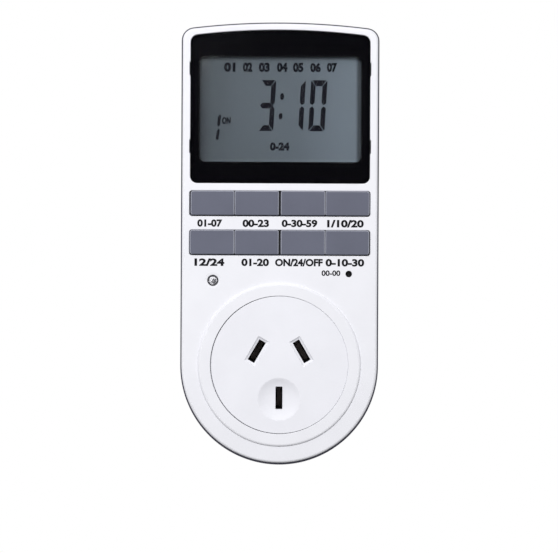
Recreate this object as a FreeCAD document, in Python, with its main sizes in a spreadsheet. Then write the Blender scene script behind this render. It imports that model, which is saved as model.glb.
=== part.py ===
import FreeCAD, Part
import math
import os

import Sketcher
from FreeCAD import Placement, Rotation, Vector

# Plug-in timer with a display, eight keys and a three-slot socket face.
# Frame: the origin is the centre of the pin pattern on the plug face.
# +X is to the right seen from the front, +Z is up and -Y is forward.
# "Forward" below is a distance from the plug face towards the front.

SIZES = {
    # Casing outline
    "body_width": 60.6,
    "crown_top": 104.7,
    "crown_radius": 222.0,
    "crown_corner": 4.0,
    "base_drop": 0.5,
    # Casing depths and walls
    "face_depth": 38.0,
    "split_depth": 14.0,
    "front_wall": 2.0,
    "side_wall": 2.0,
    "rear_wall": 2.0,
    "front_bevel": 0.9,
    "back_bevel": 2.2,
    "lip_inset": 1.0,
    "lip_height": 1.4,
    "lip_gap": 0.1,
    "rib_thickness": 0.8,
    "rib_depth": 2.4,
    # Plug boss and flat pins
    "plug_boss_inset": 9.3,
    "plug_boss_height": 1.5,
    "blade_width": 6.35,
    "blade_thickness": 1.6,
    "blade_circle": 7.92,
    "blade_tilt": 30.0,
    "earth_drop": 10.31,
    "blade_length": 17.06,
    "earth_length": 19.94,
    "blade_fit": 0.05,
    "blade_bevel": 0.45,
    "sleeve_length": 9.0,
    "sleeve_wall": 0.3,
    "shoulder_width": 9.4,
    "shoulder_height": 1.6,
    "tail_width": 4.0,
    "tail_length": 1.0,
    "pin_holder_gap": 2.6,
    "holder_thickness": 3.0,
    # Raised ring and socket insert
    "ring_inset": 5.4,
    "ring_height": 0.7,
    "ring_bevel": 0.35,
    "disc_inset": 9.2,
    "disc_gap": 0.25,
    "disc_proud": 0.6,
    "disc_bevel": 0.2,
    "flange_lap": 1.2,
    "flange_thickness": 1.5,
    "insert_depth": 18.6,
    "insert_step": 1.7,
    "slot_length": 7.0,
    "slot_width": 2.1,
    "earth_slot_length": 6.75,
    "earth_slot_width": 1.9,
    "lead_in": 0.9,
    "dish_radius": 6.5,
    "dish_floor": 4.4,
    "dish_depth": 1.3,
    "dish_shift": 0.4,
    "chamber_length": 9.6,
    "chamber_width": 5.4,
    "chamber_wall": 1.1,
    "carrier_thickness": 2.0,
    "carrier_gap": 0.2,
    "insert_screw_inset": 4.15,
    "insert_screw_angle": 34.3,
    "catch_thickness": 1.4,
    "catch_width": 5.0,
    # Socket contacts and straps
    "strip_thickness": 0.6,
    "contact_width": 6.4,
    "contact_reach": 12.5,
    "contact_spread": 1.15,
    "contact_grip": 0.7,
    "contact_mouth": 1.7,
    "contact_tail": 3.5,
    "strap_spare": 0.9,
    # Display window and its glossy surround
    "window_border": 2.95,
    "window_top_border": 2.3,
    "window_bottom": 55.2,
    "window_crown": 212.0,
    "window_top_corner": 2.4,
    "window_low_corner": 2.2,
    "window_gap": 0.1,
    "window_sink": 0.2,
    "window_thickness": 1.4,
    "tab_reach": 0.55,
    "tab_height": 3.9,
    "tab_drop": 12.0,
    "tab_rise": 11.4,
    "surround_thickness": 1.4,
    "bezel_depth": 1.8,
    "bezel_wall": 1.0,
    "view_border": 2.6,
    "view_drop": 8.0,
    "view_rise": 6.5,
    "view_corner": 1.9,
    # Liquid-crystal display and its holder
    "glass_lap": 1.5,
    "glass_thickness": 1.1,
    "glass_ledge": 2.6,
    "holder_wall": 0.9,
    "holder_gap": 0.1,
    "strip_height": 1.5,
    "strip_width": 1.8,
    "strip_inset": 2.7,
    # Boards
    "board_thickness": 1.6,
    "control_gap": 0.9,
    "control_drop": 4.2,
    "control_foot": 8.7,
    "notch_gap": 0.25,
    "control_corner": 2.0,
    "power_gap": 2.8,
    "power_drop": 6.2,
    "power_bottom": 28.5,
    "standoff_height": 2.5,
    "standoff_radius": 2.4,
    "power_screw_inset": 3.0,
    "post_radius": 1.9,
    "low_post_inset": 3.1,
    "low_post_drop": 5.9,
    "high_post_radius": 1.6,
    "high_post_inset": 3.7,
    "high_post_drop": 1.8,
    # Screws
    "small_shank": 0.9,
    "small_head": 1.8,
    "small_head_height": 1.3,
    "small_bite": 4.0,
    "thread_gap": 0.05,
    "hole_gap": 0.2,
    "casing_screw_inset": 3.9,
    "casing_screw_drop": 6.3,
    "low_screw_inset": 4.9,
    "casing_shank": 1.4,
    "casing_head": 2.5,
    "casing_head_height": 1.8,
    "casing_head_at": 9.0,
    "casing_bite": 11.0,
    "casing_boss": 2.7,
    "column_radius": 3.8,
    "counterbore": 2.8,
    # Keys and their openings
    "key_drop": 2.35,
    "key_pitch": 12.0,
    "opening_border": 2.6,
    "opening_height": 7.8,
    "opening_corner": 0.8,
    "key_height": 7.5,
    "key_side_gap": 0.15,
    "key_pair_gap": 0.2,
    "key_centre_gap": 0.45,
    "key_proud": 0.6,
    "key_bevel": 0.3,
    "key_corner": 0.45,
    "key_hollow_wall": 1.1,
    "flange_reach": 0.9,
    "key_flange": 0.9,
    "key_seat_gap": 0.1,
    "key_stem": 2.4,
    # Push switches
    "switch_size": 6.0,
    "switch_height": 3.5,
    "switch_cover": 0.4,
    "switch_travel": 0.4,
    "button_radius": 1.7,
    "button_gap": 0.1,
    "button_proud": 1.0,
    "button_length": 2.4,
    # Pilot lamp and reset hole
    "lamp_inset": 9.9,
    "lamp_drop": 11.25,
    "lamp_radius": 1.5,
    "lamp_gap": 0.2,
    "lamp_proud": 0.3,
    "lamp_length": 5.0,
    "lamp_dome": 0.7,
    "lamp_flange": 1.9,
    "lamp_flange_height": 1.0,
    "lamp_lead": 0.25,
    "lamp_pitch": 2.54,
    "lamp_sink": 0.35,
    "reset_inset": 9.1,
    "reset_drop": 9.25,
    "reset_radius": 1.0,
    "guide_wall": 1.0,
    "guide_length": 1.6,
    # Snap hooks at the top of the rear casing
    "hook_x": 14.0,
    "hook_width": 8.0,
    "hook_thickness": 1.0,
    "hook_reach": 5.0,
    "hook_drop": 2.9,
    "hook_nib": 0.8,
    "hook_gap": 0.2,
    # Parts on the control board
    "chip_x": -10.0,
    "chip_drop": 20.5,
    "chip_width": 12.0,
    "chip_height": 1.6,
    "chip_bevel": 0.3,
    "crystal_x": 9.0,
    "crystal_drop": 26.5,
    "crystal_radius": 1.0,
    "crystal_length": 6.0,
    "cell_x": 13.0,
    "cell_drop": 12.5,
    "cell_radius": 5.8,
    "cell_height": 5.4,
    "cell_foot": 1.4,
    "cell_step": 0.7,
    # Relay
    "relay_x": -12.5,
    "relay_rise": 33.5,
    "relay_length": 19.2,
    "relay_width": 15.6,
    "relay_base": 1.6,
    "relay_plinth": 0.6,
    "relay_height": 15.6,
    "relay_wall": 0.8,
    "relay_gap": 0.1,
    "yoke_thickness": 1.2,
    "yoke_width": 9.0,
    "yoke_end": 6.6,
    "coil_x": -0.4,
    "coil_radius": 4.6,
    "coil_length": 8.0,
    "bobbin_width": 10.8,
    "coil_flange_height": 0.7,
    "core_radius": 1.6,
    "core_gap": 0.05,
    "pole_radius": 2.8,
    "pole_height": 0.7,
    "air_gap": 0.6,
    "armature_lift": 0.1,
    "armature_length": 11.8,
    "armature_width": 8.0,
    "armature_thickness": 1.0,
    "arm_thickness": 0.3,
    "arm_width": 3.0,
    "arm_end": -8.2,
    "arm_start": 3.0,
    "rivet_x": -7.4,
    "rivet_radius": 0.9,
    "rivet_height": 0.6,
    "contact_gap": 0.75,
    "fixed_thickness": 1.8,
    "fixed_width": 2.4,
    # Other parts on the power board
    "dropper_x": 12.6,
    "dropper_rise": 33.5,
    "dropper_length": 18.0,
    "dropper_width": 9.0,
    "dropper_height": 15.0,
    "dropper_round": 1.0,
    "smoother_x": -14.0,
    "smoother_drop": 13.0,
    "smoother_pitch": 10.0,
    "smoother_radius": 4.0,
    "smoother_height": 11.0,
    "varistor_x": 13.0,
    "varistor_rise": 16.5,
    "varistor_radius": 5.0,
    "varistor_thickness": 4.0,
    "diode_x": -16.0,
    "diode_rise": 11.5,
    "diode_pitch": 4.0,
    "diode_radius": 1.35,
    "diode_length": 5.0,
    "resistor_x": 3.0,
    "resistor_rise": 21.5,
    "resistor_radius": 1.6,
    "resistor_length": 9.0,
    # Wiring
    "lead_radius": 1.0,
    "lead_bend": 2.2,
    "lead_rise": 0.3,
    "lead_shift": 0.4,
    "terminal_rise": 3.5,
    "terminal_inset": 5.5,
    "switched_terminal_x": -4.0,
    "ribbon_x": 12.0,
    "ribbon_width": 10.0,
    "ribbon_thickness": 0.9,
    "ribbon_rise": 14.0,
    "ribbon_bend": 4.0,
    "ribbon_shift": 5.0,
}


class Value:
    """A number together with the sheet expression that it follows."""

    def __init__(self, number, text):
        self.number = float(number)
        self.text = text

    def __add__(self, other):
        other = as_value(other)
        return Value(self.number + other.number, "(%s + %s)" % (self.text, other.text))

    def __sub__(self, other):
        other = as_value(other)
        return Value(self.number - other.number, "(%s - %s)" % (self.text, other.text))

    def __mul__(self, other):
        other = as_value(other)
        return Value(self.number * other.number, "(%s * %s)" % (self.text, other.text))

    def __truediv__(self, other):
        other = as_value(other)
        return Value(self.number / other.number, "(%s / %s)" % (self.text, other.text))

    def __neg__(self):
        return Value(-self.number, "(0 - %s)" % self.text)

    def __radd__(self, other):
        return as_value(other) + self

    def __rsub__(self, other):
        return as_value(other) - self

    def __rmul__(self, other):
        return as_value(other) * self


def as_value(thing):
    """Gives a plain number the same form as a size from the sheet."""
    if isinstance(thing, Value):
        return thing
    return Value(thing, "(%r)" % float(thing))


def sine(angle):
    angle = as_value(angle)
    return Value(math.sin(math.radians(angle.number)), "sin(%s * 1 deg)" % angle.text)


def cosine(angle):
    angle = as_value(angle)
    return Value(math.cos(math.radians(angle.number)), "cos(%s * 1 deg)" % angle.text)


def root(value):
    return Value(math.sqrt(value.number), "sqrt(%s)" % value.text)


def heading(across, up):
    """The angle of a direction in the front view, anticlockwise from the right."""
    angle = math.degrees(math.atan2(up.number, across.number))
    return Value(angle, "(atan2(%s; %s) / 1 deg)" % (up.text, across.text))


class Sheet:
    """The driving sizes, one spreadsheet row each."""

    def __init__(self, sizes):
        cells = document.addObject("Spreadsheet::Sheet", "Sizes")
        for row, (name, number) in enumerate(sizes.items(), 1):
            cells.set("A%d" % row, name)
            cells.set("B%d" % row, repr(number))
            cells.setAlias("B%d" % row, name)
            setattr(self, name, Value(number, "Sizes." + name))


document = FreeCAD.newDocument("PlugInTimer")
mm = Sheet(SIZES)
document.recompute()

# Levels, all as forward distances from the plug face

PANEL_BACK = mm.face_depth - mm.front_wall
WALL_BACK = mm.plug_boss_height
WALL_FRONT = WALL_BACK + mm.rear_wall
WINDOW_FRONT = mm.face_depth - mm.window_sink
WINDOW_BACK = WINDOW_FRONT - mm.window_thickness
SURROUND_BACK = WINDOW_BACK - mm.surround_thickness
GLASS_FRONT = SURROUND_BACK - mm.bezel_depth
GLASS_BACK = GLASS_FRONT - 2 * mm.glass_thickness
CONTROL_FRONT = GLASS_BACK - mm.strip_height
CONTROL_BACK = CONTROL_FRONT - mm.board_thickness
POWER_BACK = WALL_FRONT + mm.standoff_height
POWER_FRONT = POWER_BACK + mm.board_thickness
SWITCH_FRONT = CONTROL_FRONT + mm.switch_height
BUTTON_FRONT = SWITCH_FRONT + mm.button_proud
KEY_FRONT = mm.face_depth + mm.key_proud
KEY_FLANGE_FRONT = PANEL_BACK - mm.key_seat_gap
KEY_FLANGE_BACK = KEY_FLANGE_FRONT - mm.key_flange
RING_FRONT = mm.face_depth + mm.ring_height
DISC_FRONT = mm.face_depth + mm.disc_proud
FLANGE_BACK = PANEL_BACK - mm.flange_thickness
INSERT_BACK = DISC_FRONT - mm.insert_depth
CARRIER_BACK = INSERT_BACK - mm.carrier_thickness
TAIL_BACK = INSERT_BACK - mm.contact_tail
SHOULDER_FRONT = WALL_FRONT + mm.shoulder_height
HOLDER_FRONT = SHOULDER_FRONT + mm.holder_thickness
PIN_FRONT = HOLDER_FRONT + mm.tail_length
LAMP_FRONT = mm.face_depth + mm.lamp_proud
LAMP_BACK = LAMP_FRONT - mm.lamp_length

# Widths and heights that follow the casing outline

HALF = mm.body_width / 2
INNER_HALF = HALF - mm.side_wall
RING_RADIUS = HALF - mm.ring_inset
DISC_RADIUS = HALF - mm.disc_inset
FLANGE_RADIUS = DISC_RADIUS + mm.flange_lap
INSERT_RADIUS = DISC_RADIUS - mm.insert_step
PLUG_BOSS_RADIUS = HALF - mm.plug_boss_inset
WINDOW_HALF = HALF - mm.window_border
WINDOW_TOP = mm.crown_top - mm.window_top_border
VIEW_HALF = WINDOW_HALF - mm.view_border
VIEW_TOP = WINDOW_TOP - mm.view_drop
VIEW_BOTTOM = mm.window_bottom + mm.view_rise
GLASS_HALF = VIEW_HALF + mm.glass_lap
GLASS_TOP = VIEW_TOP + mm.glass_lap
GLASS_BOTTOM = VIEW_BOTTOM - mm.glass_lap
STRIP_HALF = GLASS_HALF - mm.strip_inset
OPENING_HALF = HALF - mm.opening_border
KEY_ROW_HIGH = mm.window_bottom - mm.key_drop - mm.opening_height / 2
KEY_ROW_LOW = KEY_ROW_HIGH - mm.key_pitch
LAMP_ACROSS = mm.lamp_inset - HALF
LAMP_UP = KEY_ROW_LOW - mm.lamp_drop
RESET = (HALF - mm.reset_inset, KEY_ROW_LOW - mm.reset_drop)
CONTROL_HALF = INNER_HALF - mm.control_gap
CONTROL_TOP = mm.crown_top - mm.control_drop
CONTROL_BOTTOM = RESET[1] - mm.control_foot
POWER_HALF = INNER_HALF - mm.power_gap
POWER_TOP = mm.crown_top - mm.power_drop
HOOK_TOP = mm.crown_top - mm.hook_drop

# The three blades: across, up, and the lean, clockwise being positive

LIVE_ACROSS = mm.blade_circle * cosine(mm.blade_tilt)
LIVE_UP = mm.blade_circle * sine(mm.blade_tilt)
BLADES = {
    "active": (-LIVE_ACROSS, LIVE_UP, mm.blade_tilt),
    "neutral": (LIVE_ACROSS, LIVE_UP, -mm.blade_tilt),
    "earth": (as_value(0), -mm.earth_drop, as_value(0)),
}

KEY_WIDTH = (2 * OPENING_HALF - 2 * mm.key_side_gap - 2 * mm.key_pair_gap - mm.key_centre_gap) / 4
INNER_KEY = mm.key_centre_gap / 2 + KEY_WIDTH / 2
OUTER_KEY = INNER_KEY + KEY_WIDTH + mm.key_pair_gap

KEYS = {
    "week": (-OUTER_KEY, KEY_ROW_HIGH),
    "hour": (-INNER_KEY, KEY_ROW_HIGH),
    "minute": (INNER_KEY, KEY_ROW_HIGH),
    "recall": (OUTER_KEY, KEY_ROW_HIGH),
    "clock": (-OUTER_KEY, KEY_ROW_LOW),
    "timer": (-INNER_KEY, KEY_ROW_LOW),
    "mode": (INNER_KEY, KEY_ROW_LOW),
    "random": (OUTER_KEY, KEY_ROW_LOW),
}

SWITCHES = list(KEYS.values()) + [RESET]


def both_sides(across, up):
    """A place and its mirror image across the middle."""
    return [(-across, up), (across, up)]


LOW_POSTS = both_sides(INNER_HALF - mm.low_post_inset, RESET[1] - mm.low_post_drop)
HIGH_POSTS = both_sides(INNER_HALF - mm.high_post_inset, CONTROL_TOP - mm.high_post_drop)
LOW_SCREW = (HALF - mm.low_screw_inset) * cosine(45)
CASING_SCREWS = both_sides(INNER_HALF - mm.casing_screw_inset, LOW_POSTS[0][1] - mm.casing_screw_drop)
CASING_SCREWS += both_sides(LOW_SCREW, -LOW_SCREW)
INSERT_SCREW_REACH = INSERT_RADIUS - mm.insert_screw_inset
INSERT_SCREWS = both_sides(
    INSERT_SCREW_REACH * cosine(mm.insert_screw_angle),
    -(INSERT_SCREW_REACH * sine(mm.insert_screw_angle)),
)
POWER_SCREW_ACROSS = POWER_HALF - mm.power_screw_inset
POWER_SCREWS = both_sides(POWER_SCREW_ACROSS, mm.power_bottom + mm.power_screw_inset)
POWER_SCREWS += both_sides(POWER_SCREW_ACROSS, POWER_TOP - mm.power_screw_inset)
WINDOW_TABS = [WINDOW_TOP - mm.tab_drop, mm.window_bottom + mm.tab_rise]


# Sketch outlines

def start(piece):
    return (piece, 1)


def end(piece):
    return (piece, 2)


def centre(piece):
    return (piece, 3)


class Outline:
    """The geometry of one sketch, with the rules and sizes that hold it."""

    def __init__(self, sketch):
        self.sketch = sketch
        self.rules = []
        self.sizes = {}

    def add(self, shape, construction=False):
        return self.sketch.addGeometry(shape, construction)

    def hold(self, kind, *points):
        self.rules.append(Sketcher.Constraint(kind, *points))

    def measure(self, kind, *points_and_size):
        """Adds a dimension that follows its size."""
        *points, size = points_and_size
        size = as_value(size)
        self.sizes[len(self.rules)] = size.text
        self.hold(kind, *points, size.number)

    def locate(self, point, across=None, up=None):
        """Dimensions one point from the sketch's origin."""
        origin = start(-1)
        if across is not None:
            self.measure("DistanceX", *origin, *point, across)
        if up is not None:
            self.measure("DistanceY", *origin, *point, up)

    def finish(self):
        indices = self.sketch.addConstraint(self.rules)
        for place_in_rules, text in self.sizes.items():
            self.sketch.setExpression("Constraints[%d]" % indices[place_in_rules], text)


def flat(across, up):
    return Vector(as_value(across).number, as_value(up).number, 0)


def circle(across, up, radius):
    def draw(outline):
        shape = Part.Circle(flat(across, up), Vector(0, 0, 1), as_value(radius).number)
        piece = outline.add(shape)
        outline.locate(centre(piece), across, up)
        outline.measure("Radius", piece, radius)
    return draw


def loop(outline, corners):
    """Straight sides end to end through the corners."""
    count = len(corners)
    sides = []
    for index in range(count):
        sides.append(outline.add(Part.LineSegment(corners[index], corners[(index + 1) % count])))
    for index in range(count):
        outline.hold("Coincident", *end(sides[index]), *start(sides[(index + 1) % count]))
    return sides


def equal_sided(count, across, up, radius):
    """Equal sides that touch a circle of this radius, the last one upright."""
    def draw(outline):
        reach = as_value(radius) / cosine(180 / count)
        middle = flat(across, up)
        corners = []
        for index in range(count):
            turn = 2 * math.pi * (index + 0.5) / count
            corners.append(middle + Vector(math.cos(turn), math.sin(turn), 0) * reach.number)
        sides = loop(outline, corners)
        guide = outline.add(Part.Circle(middle, Vector(0, 0, 1), reach.number), True)
        for side in sides:
            outline.hold("PointOnObject", *start(side), guide)
        for side in sides[1:]:
            outline.hold("Equal", sides[0], side)
        outline.hold("Vertical", sides[-1])
        outline.locate(centre(guide), across, up)
        outline.measure("Radius", guide, reach)
    return draw


def octagon(across, up, radius):
    """The outline of the small round details inside the casing."""
    return equal_sided(8, across, up, radius)


def barrel(across, up, radius):
    """The outline of the larger round parts inside the casing."""
    return equal_sided(12, across, up, radius)


def polygon(*corners):
    """Straight sides through the corners, each corner dimensioned."""
    def draw(outline):
        sides = loop(outline, [flat(across, up) for across, up in corners])
        for side, (across, up) in zip(sides, corners):
            outline.locate(start(side), across, up)
    return draw


def rectangle(left, right, low, high):
    def draw(outline):
        corners = [flat(left, low), flat(right, low), flat(right, high), flat(left, high)]
        foot, right_side, top, left_side = loop(outline, corners)
        outline.hold("Horizontal", foot)
        outline.hold("Vertical", right_side)
        outline.hold("Horizontal", top)
        outline.hold("Vertical", left_side)
        outline.locate(start(foot), left, low)
        outline.locate(start(top), right, high)
    return draw


def centred(across, up, width, height):
    """A rectangle given by its middle."""
    return rectangle(across - width / 2, across + width / 2, up - height / 2, up + height / 2)


def tilted(blade, length, width, shift=0):
    """A rectangle in line with one blade, shifted across its thickness."""
    lean = BLADES[blade][2]
    along = (sine(lean) * length / 2, cosine(lean) * length / 2)
    aside = (cosine(lean) * width / 2, -(sine(lean) * width / 2))
    middle = beside_blade(blade, shift)
    corners = []
    for first, second in ((-1, -1), (-1, 1), (1, 1), (1, -1)):
        corner_across = middle[0] + along[0] * first + aside[0] * second
        corner_up = middle[1] + along[1] * first + aside[1] * second
        corners.append((corner_across, corner_up))
    return polygon(*corners)


def arc(middle, radius, first, last):
    """An arc from a first to a last angle, in radians, anticlockwise."""
    ring = Part.Circle(middle, Vector(0, 0, 1), radius)
    return Part.ArcOfCircle(ring, first, last)


def chain(outline, shapes):
    """Adds lines and arcs end to end in a smooth closed loop."""
    pieces = [outline.add(shape) for shape in shapes]
    count = len(pieces)
    for index in range(count):
        outline.hold("Tangent", *end(pieces[index]), *start(pieces[(index + 1) % count]))
    return pieces


def rounded(left, right, low, high, corner):
    """A rectangle with four equal round corners."""
    def draw(outline):
        x0, x1 = as_value(left).number, as_value(right).number
        z0, z1 = as_value(low).number, as_value(high).number
        r = as_value(corner).number
        quarter = math.pi / 2
        pieces = chain(outline, [
            Part.LineSegment(Vector(x0 + r, z0, 0), Vector(x1 - r, z0, 0)),
            arc(Vector(x1 - r, z0 + r, 0), r, 3 * quarter, 4 * quarter),
            Part.LineSegment(Vector(x1, z0 + r, 0), Vector(x1, z1 - r, 0)),
            arc(Vector(x1 - r, z1 - r, 0), r, 0, quarter),
            Part.LineSegment(Vector(x1 - r, z1, 0), Vector(x0 + r, z1, 0)),
            arc(Vector(x0 + r, z1 - r, 0), r, quarter, 2 * quarter),
            Part.LineSegment(Vector(x0, z1 - r, 0), Vector(x0, z0 + r, 0)),
            arc(Vector(x0 + r, z0 + r, 0), r, 2 * quarter, 3 * quarter),
        ])
        foot, first_corner, right_side, second_corner, top, third_corner, left_side, last_corner = pieces
        outline.hold("Horizontal", foot)
        outline.hold("Vertical", right_side)
        outline.hold("Horizontal", top)
        outline.hold("Vertical", left_side)
        for piece in (second_corner, third_corner, last_corner):
            outline.hold("Equal", first_corner, piece)
        outline.measure("Radius", first_corner, corner)
        outline.locate(start(foot), up=low)
        outline.locate(start(right_side), across=right)
        outline.locate(start(top), up=high)
        outline.locate(start(left_side), across=left)
    return draw


def crown_shapes(half, top, radius, corner):
    """The right corner, the crown and the left corner of an arched top."""
    crown_middle = Vector(0, top - radius, 0)
    reach = radius - corner
    corner_up = crown_middle.y + math.sqrt(reach ** 2 - (half - corner) ** 2)
    right = Vector(half - corner, corner_up, 0)
    left = Vector(corner - half, corner_up, 0)
    lean = math.atan2(right.y - crown_middle.y, right.x)
    return [
        arc(right, corner, 0, lean),
        arc(crown_middle, radius, lean, math.pi - lean),
        arc(left, corner, math.pi - lean, math.pi),
    ]


def hold_crown(outline, right_corner, crown, left_corner, top, radius, corner):
    """Dimensions the three arcs of an arched top."""
    outline.locate(centre(crown), 0, top - radius)
    outline.measure("Radius", crown, radius)
    outline.measure("Radius", right_corner, corner)
    outline.hold("Equal", right_corner, left_corner)


def casing_outline(inset):
    """The casing seen from the front: arched top, straight sides, round base."""
    inset = as_value(inset)
    half = HALF - inset
    top = mm.crown_top - inset
    radius = mm.crown_radius - inset
    corner = mm.crown_corner - inset

    def draw(outline):
        h = half.number
        drop = -mm.base_drop.number
        arched = crown_shapes(h, top.number, radius.number, corner.number)
        shoulder = arched[0].Center.y
        shapes = [arc(Vector(0, drop, 0), h, math.pi, 2 * math.pi)]
        shapes.append(Part.LineSegment(Vector(h, drop, 0), Vector(h, shoulder, 0)))
        shapes += arched
        shapes.append(Part.LineSegment(Vector(-h, shoulder, 0), Vector(-h, drop, 0)))
        base, right_side, right_corner, crown, left_corner, left_side = chain(outline, shapes)
        outline.locate(centre(base), 0, -mm.base_drop)
        outline.measure("Radius", base, half)
        outline.hold("Vertical", right_side)
        outline.hold("Vertical", left_side)
        hold_crown(outline, right_corner, crown, left_corner, top, radius, corner)
    return draw


def window_outline(inset):
    """The display window: arched top and a straight foot with round corners."""
    inset = as_value(inset)
    half = WINDOW_HALF - inset
    top = WINDOW_TOP - inset
    low = mm.window_bottom + inset
    radius = mm.window_crown - inset
    corner = mm.window_top_corner - inset
    foot_corner = mm.window_low_corner - inset

    def draw(outline):
        h, z, r = half.number, low.number, foot_corner.number
        arched = crown_shapes(h, top.number, radius.number, corner.number)
        shoulder = arched[0].Center.y
        shapes = [
            Part.LineSegment(Vector(r - h, z, 0), Vector(h - r, z, 0)),
            arc(Vector(h - r, z + r, 0), r, 1.5 * math.pi, 2 * math.pi),
            Part.LineSegment(Vector(h, z + r, 0), Vector(h, shoulder, 0)),
        ]
        shapes += arched
        shapes.append(Part.LineSegment(Vector(-h, shoulder, 0), Vector(-h, z + r, 0)))
        shapes.append(arc(Vector(r - h, z + r, 0), r, math.pi, 1.5 * math.pi))
        pieces = chain(outline, shapes)
        foot, low_right, right_side, right_corner, crown, left_corner, left_side, low_left = pieces
        outline.hold("Horizontal", foot)
        outline.hold("Vertical", right_side)
        outline.hold("Vertical", left_side)
        outline.locate(start(foot), up=low)
        outline.locate(start(right_side), across=half)
        outline.locate(start(left_side), across=-half)
        outline.measure("Radius", low_right, foot_corner)
        outline.hold("Equal", low_right, low_left)
        hold_crown(outline, right_corner, crown, left_corner, top, radius, corner)
    return draw


# Features

def new_body(label):
    body = document.addObject("PartDesign::Body", label)
    body.Label = label
    return body


def place(body, across, up, angle=0):
    """Puts a body at its place in the front view, turned clockwise by an angle."""
    body.Placement = Placement(Vector(), Rotation(Vector(0, 1, 0), 90))
    body.setExpression("Placement.Base.x", as_value(across).text)
    body.setExpression("Placement.Base.z", as_value(up).text)
    body.setExpression("Placement.Rotation.Angle", as_value(angle).text + " * 1 deg")


def new_sketch(body, name, level, shapes, plane="XZ_Plane"):
    """A sketch at a level along the plane's normal, which on XZ points forward."""
    support = [item for item in body.Origin.OriginFeatures if item.Role == plane][0]
    sketch = body.newObject("Sketcher::SketchObject", name)
    sketch.AttachmentSupport = (support, [""])
    sketch.MapMode = "FlatFace"
    sketch.setExpression("AttachmentOffset.Base.z", as_value(level).text)
    outline = Outline(sketch)
    for draw in shapes:
        draw(outline)
    outline.finish()
    return sketch


def pad(body, name, low, high, *shapes, plane="XZ_Plane"):
    """Adds material between two levels."""
    feature_sketch = new_sketch(body, name + "Sketch", low, shapes, plane)
    feature = body.newObject("PartDesign::Pad", name)
    feature.Profile = feature_sketch
    feature.setExpression("Length", (as_value(high) - low).text)
    document.recompute()
    return feature


def cut(body, name, low, high, *shapes, plane="XZ_Plane"):
    """Removes material between two levels."""
    feature_sketch = new_sketch(body, name + "Sketch", high, shapes, plane)
    before = body.Shape.Volume
    feature = body.newObject("PartDesign::Pocket", name)
    feature.Profile = feature_sketch
    feature.Type = "Length"
    feature.setExpression("Length", (as_value(high) - low).text)
    document.recompute()
    if body.Shape.Volume >= before:
        raise ValueError("%s of %s removes nothing" % (name, body.Label))
    return feature


def edges_where(body, test):
    return ["Edge%d" % index for index, edge in enumerate(body.Shape.Edges, 1) if test(edge)]


def at_level(edge, level):
    """True for an edge that lies in the plane at a forward level."""
    box = edge.BoundBox
    forward = -as_value(level).number
    return abs(box.YMin - forward) < 0.001 and abs(box.YMax - forward) < 0.001


def bevel(body, name, size, edges):
    """Bevels edges of the body as it stands."""
    if not edges:
        raise ValueError("%s of %s finds no edge" % (name, body.Label))
    dressed = body.Tip
    feature = body.newObject("PartDesign::Chamfer", name)
    feature.Base = (dressed, edges)
    feature.setExpression("Size", size.text)
    document.recompute()
    return feature


# Casing

def front_casing():
    """The front shell: face, raised ring, openings, screw bosses and catches."""
    body = new_body("front_casing")
    pad(body, "Block", mm.split_depth, mm.face_depth, casing_outline(0))
    outer_edges = edges_where(body, lambda edge: at_level(edge, mm.face_depth))
    bevel(body, "FaceBevel", mm.front_bevel, outer_edges)
    cut(body, "Inside", mm.split_depth, PANEL_BACK, casing_outline(mm.side_wall))
    groove_top = mm.split_depth + mm.lip_height + mm.lip_gap
    cut(body, "LipSeat", mm.split_depth, groove_top, casing_outline(mm.lip_inset))

    pad(body, "Ring", mm.face_depth, RING_FRONT, circle(0, 0, RING_RADIUS))
    ring_edges = edges_where(body, lambda edge: at_level(edge, RING_FRONT))
    bevel(body, "RingBevel", mm.ring_bevel, ring_edges)
    cut(body, "SocketHole", PANEL_BACK, RING_FRONT, circle(0, 0, DISC_RADIUS + mm.disc_gap))

    tabs = []
    for level in WINDOW_TABS:
        low = level - mm.tab_height / 2 - mm.window_gap
        high = level + mm.tab_height / 2 + mm.window_gap
        reach = WINDOW_HALF + mm.tab_reach
        tabs.append(rectangle(-reach, reach, low, high))
    cut(body, "WindowHole", PANEL_BACK, mm.face_depth, window_outline(0))
    cut(body, "TabNotches", PANEL_BACK, mm.face_depth, *tabs)

    openings = []
    for row in (KEY_ROW_HIGH, KEY_ROW_LOW):
        low = row - mm.opening_height / 2
        high = row + mm.opening_height / 2
        openings.append(rounded(-OPENING_HALF, OPENING_HALF, low, high, mm.opening_corner))
    cut(body, "KeyOpenings", PANEL_BACK, mm.face_depth, *openings)

    casing_bosses(body)
    casing_ribs(body)
    lamp_and_reset_holes(body)
    insert_catches(body)
    hook_pockets(body)
    return body


def casing_bosses(body):
    """Screw bosses for the rear casing and posts for the control board."""
    bosses = [octagon(x, z, mm.casing_boss) for x, z in CASING_SCREWS]
    pad(body, "ScrewBosses", mm.split_depth, PANEL_BACK, *bosses)
    pilots = [octagon(x, z, mm.casing_shank + mm.thread_gap) for x, z in CASING_SCREWS]
    cut(body, "ScrewPilots", mm.split_depth, mm.split_depth + mm.casing_bite + mm.hole_gap, *pilots)
    posts = [octagon(x, z, mm.post_radius) for x, z in LOW_POSTS]
    pad(body, "BoardPosts", CONTROL_FRONT, PANEL_BACK, *posts)
    holes = [octagon(x, z, mm.small_shank + mm.thread_gap) for x, z in LOW_POSTS]
    cut(body, "BoardPilots", CONTROL_FRONT, CONTROL_FRONT + mm.small_bite + mm.hole_gap, *holes)


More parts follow.
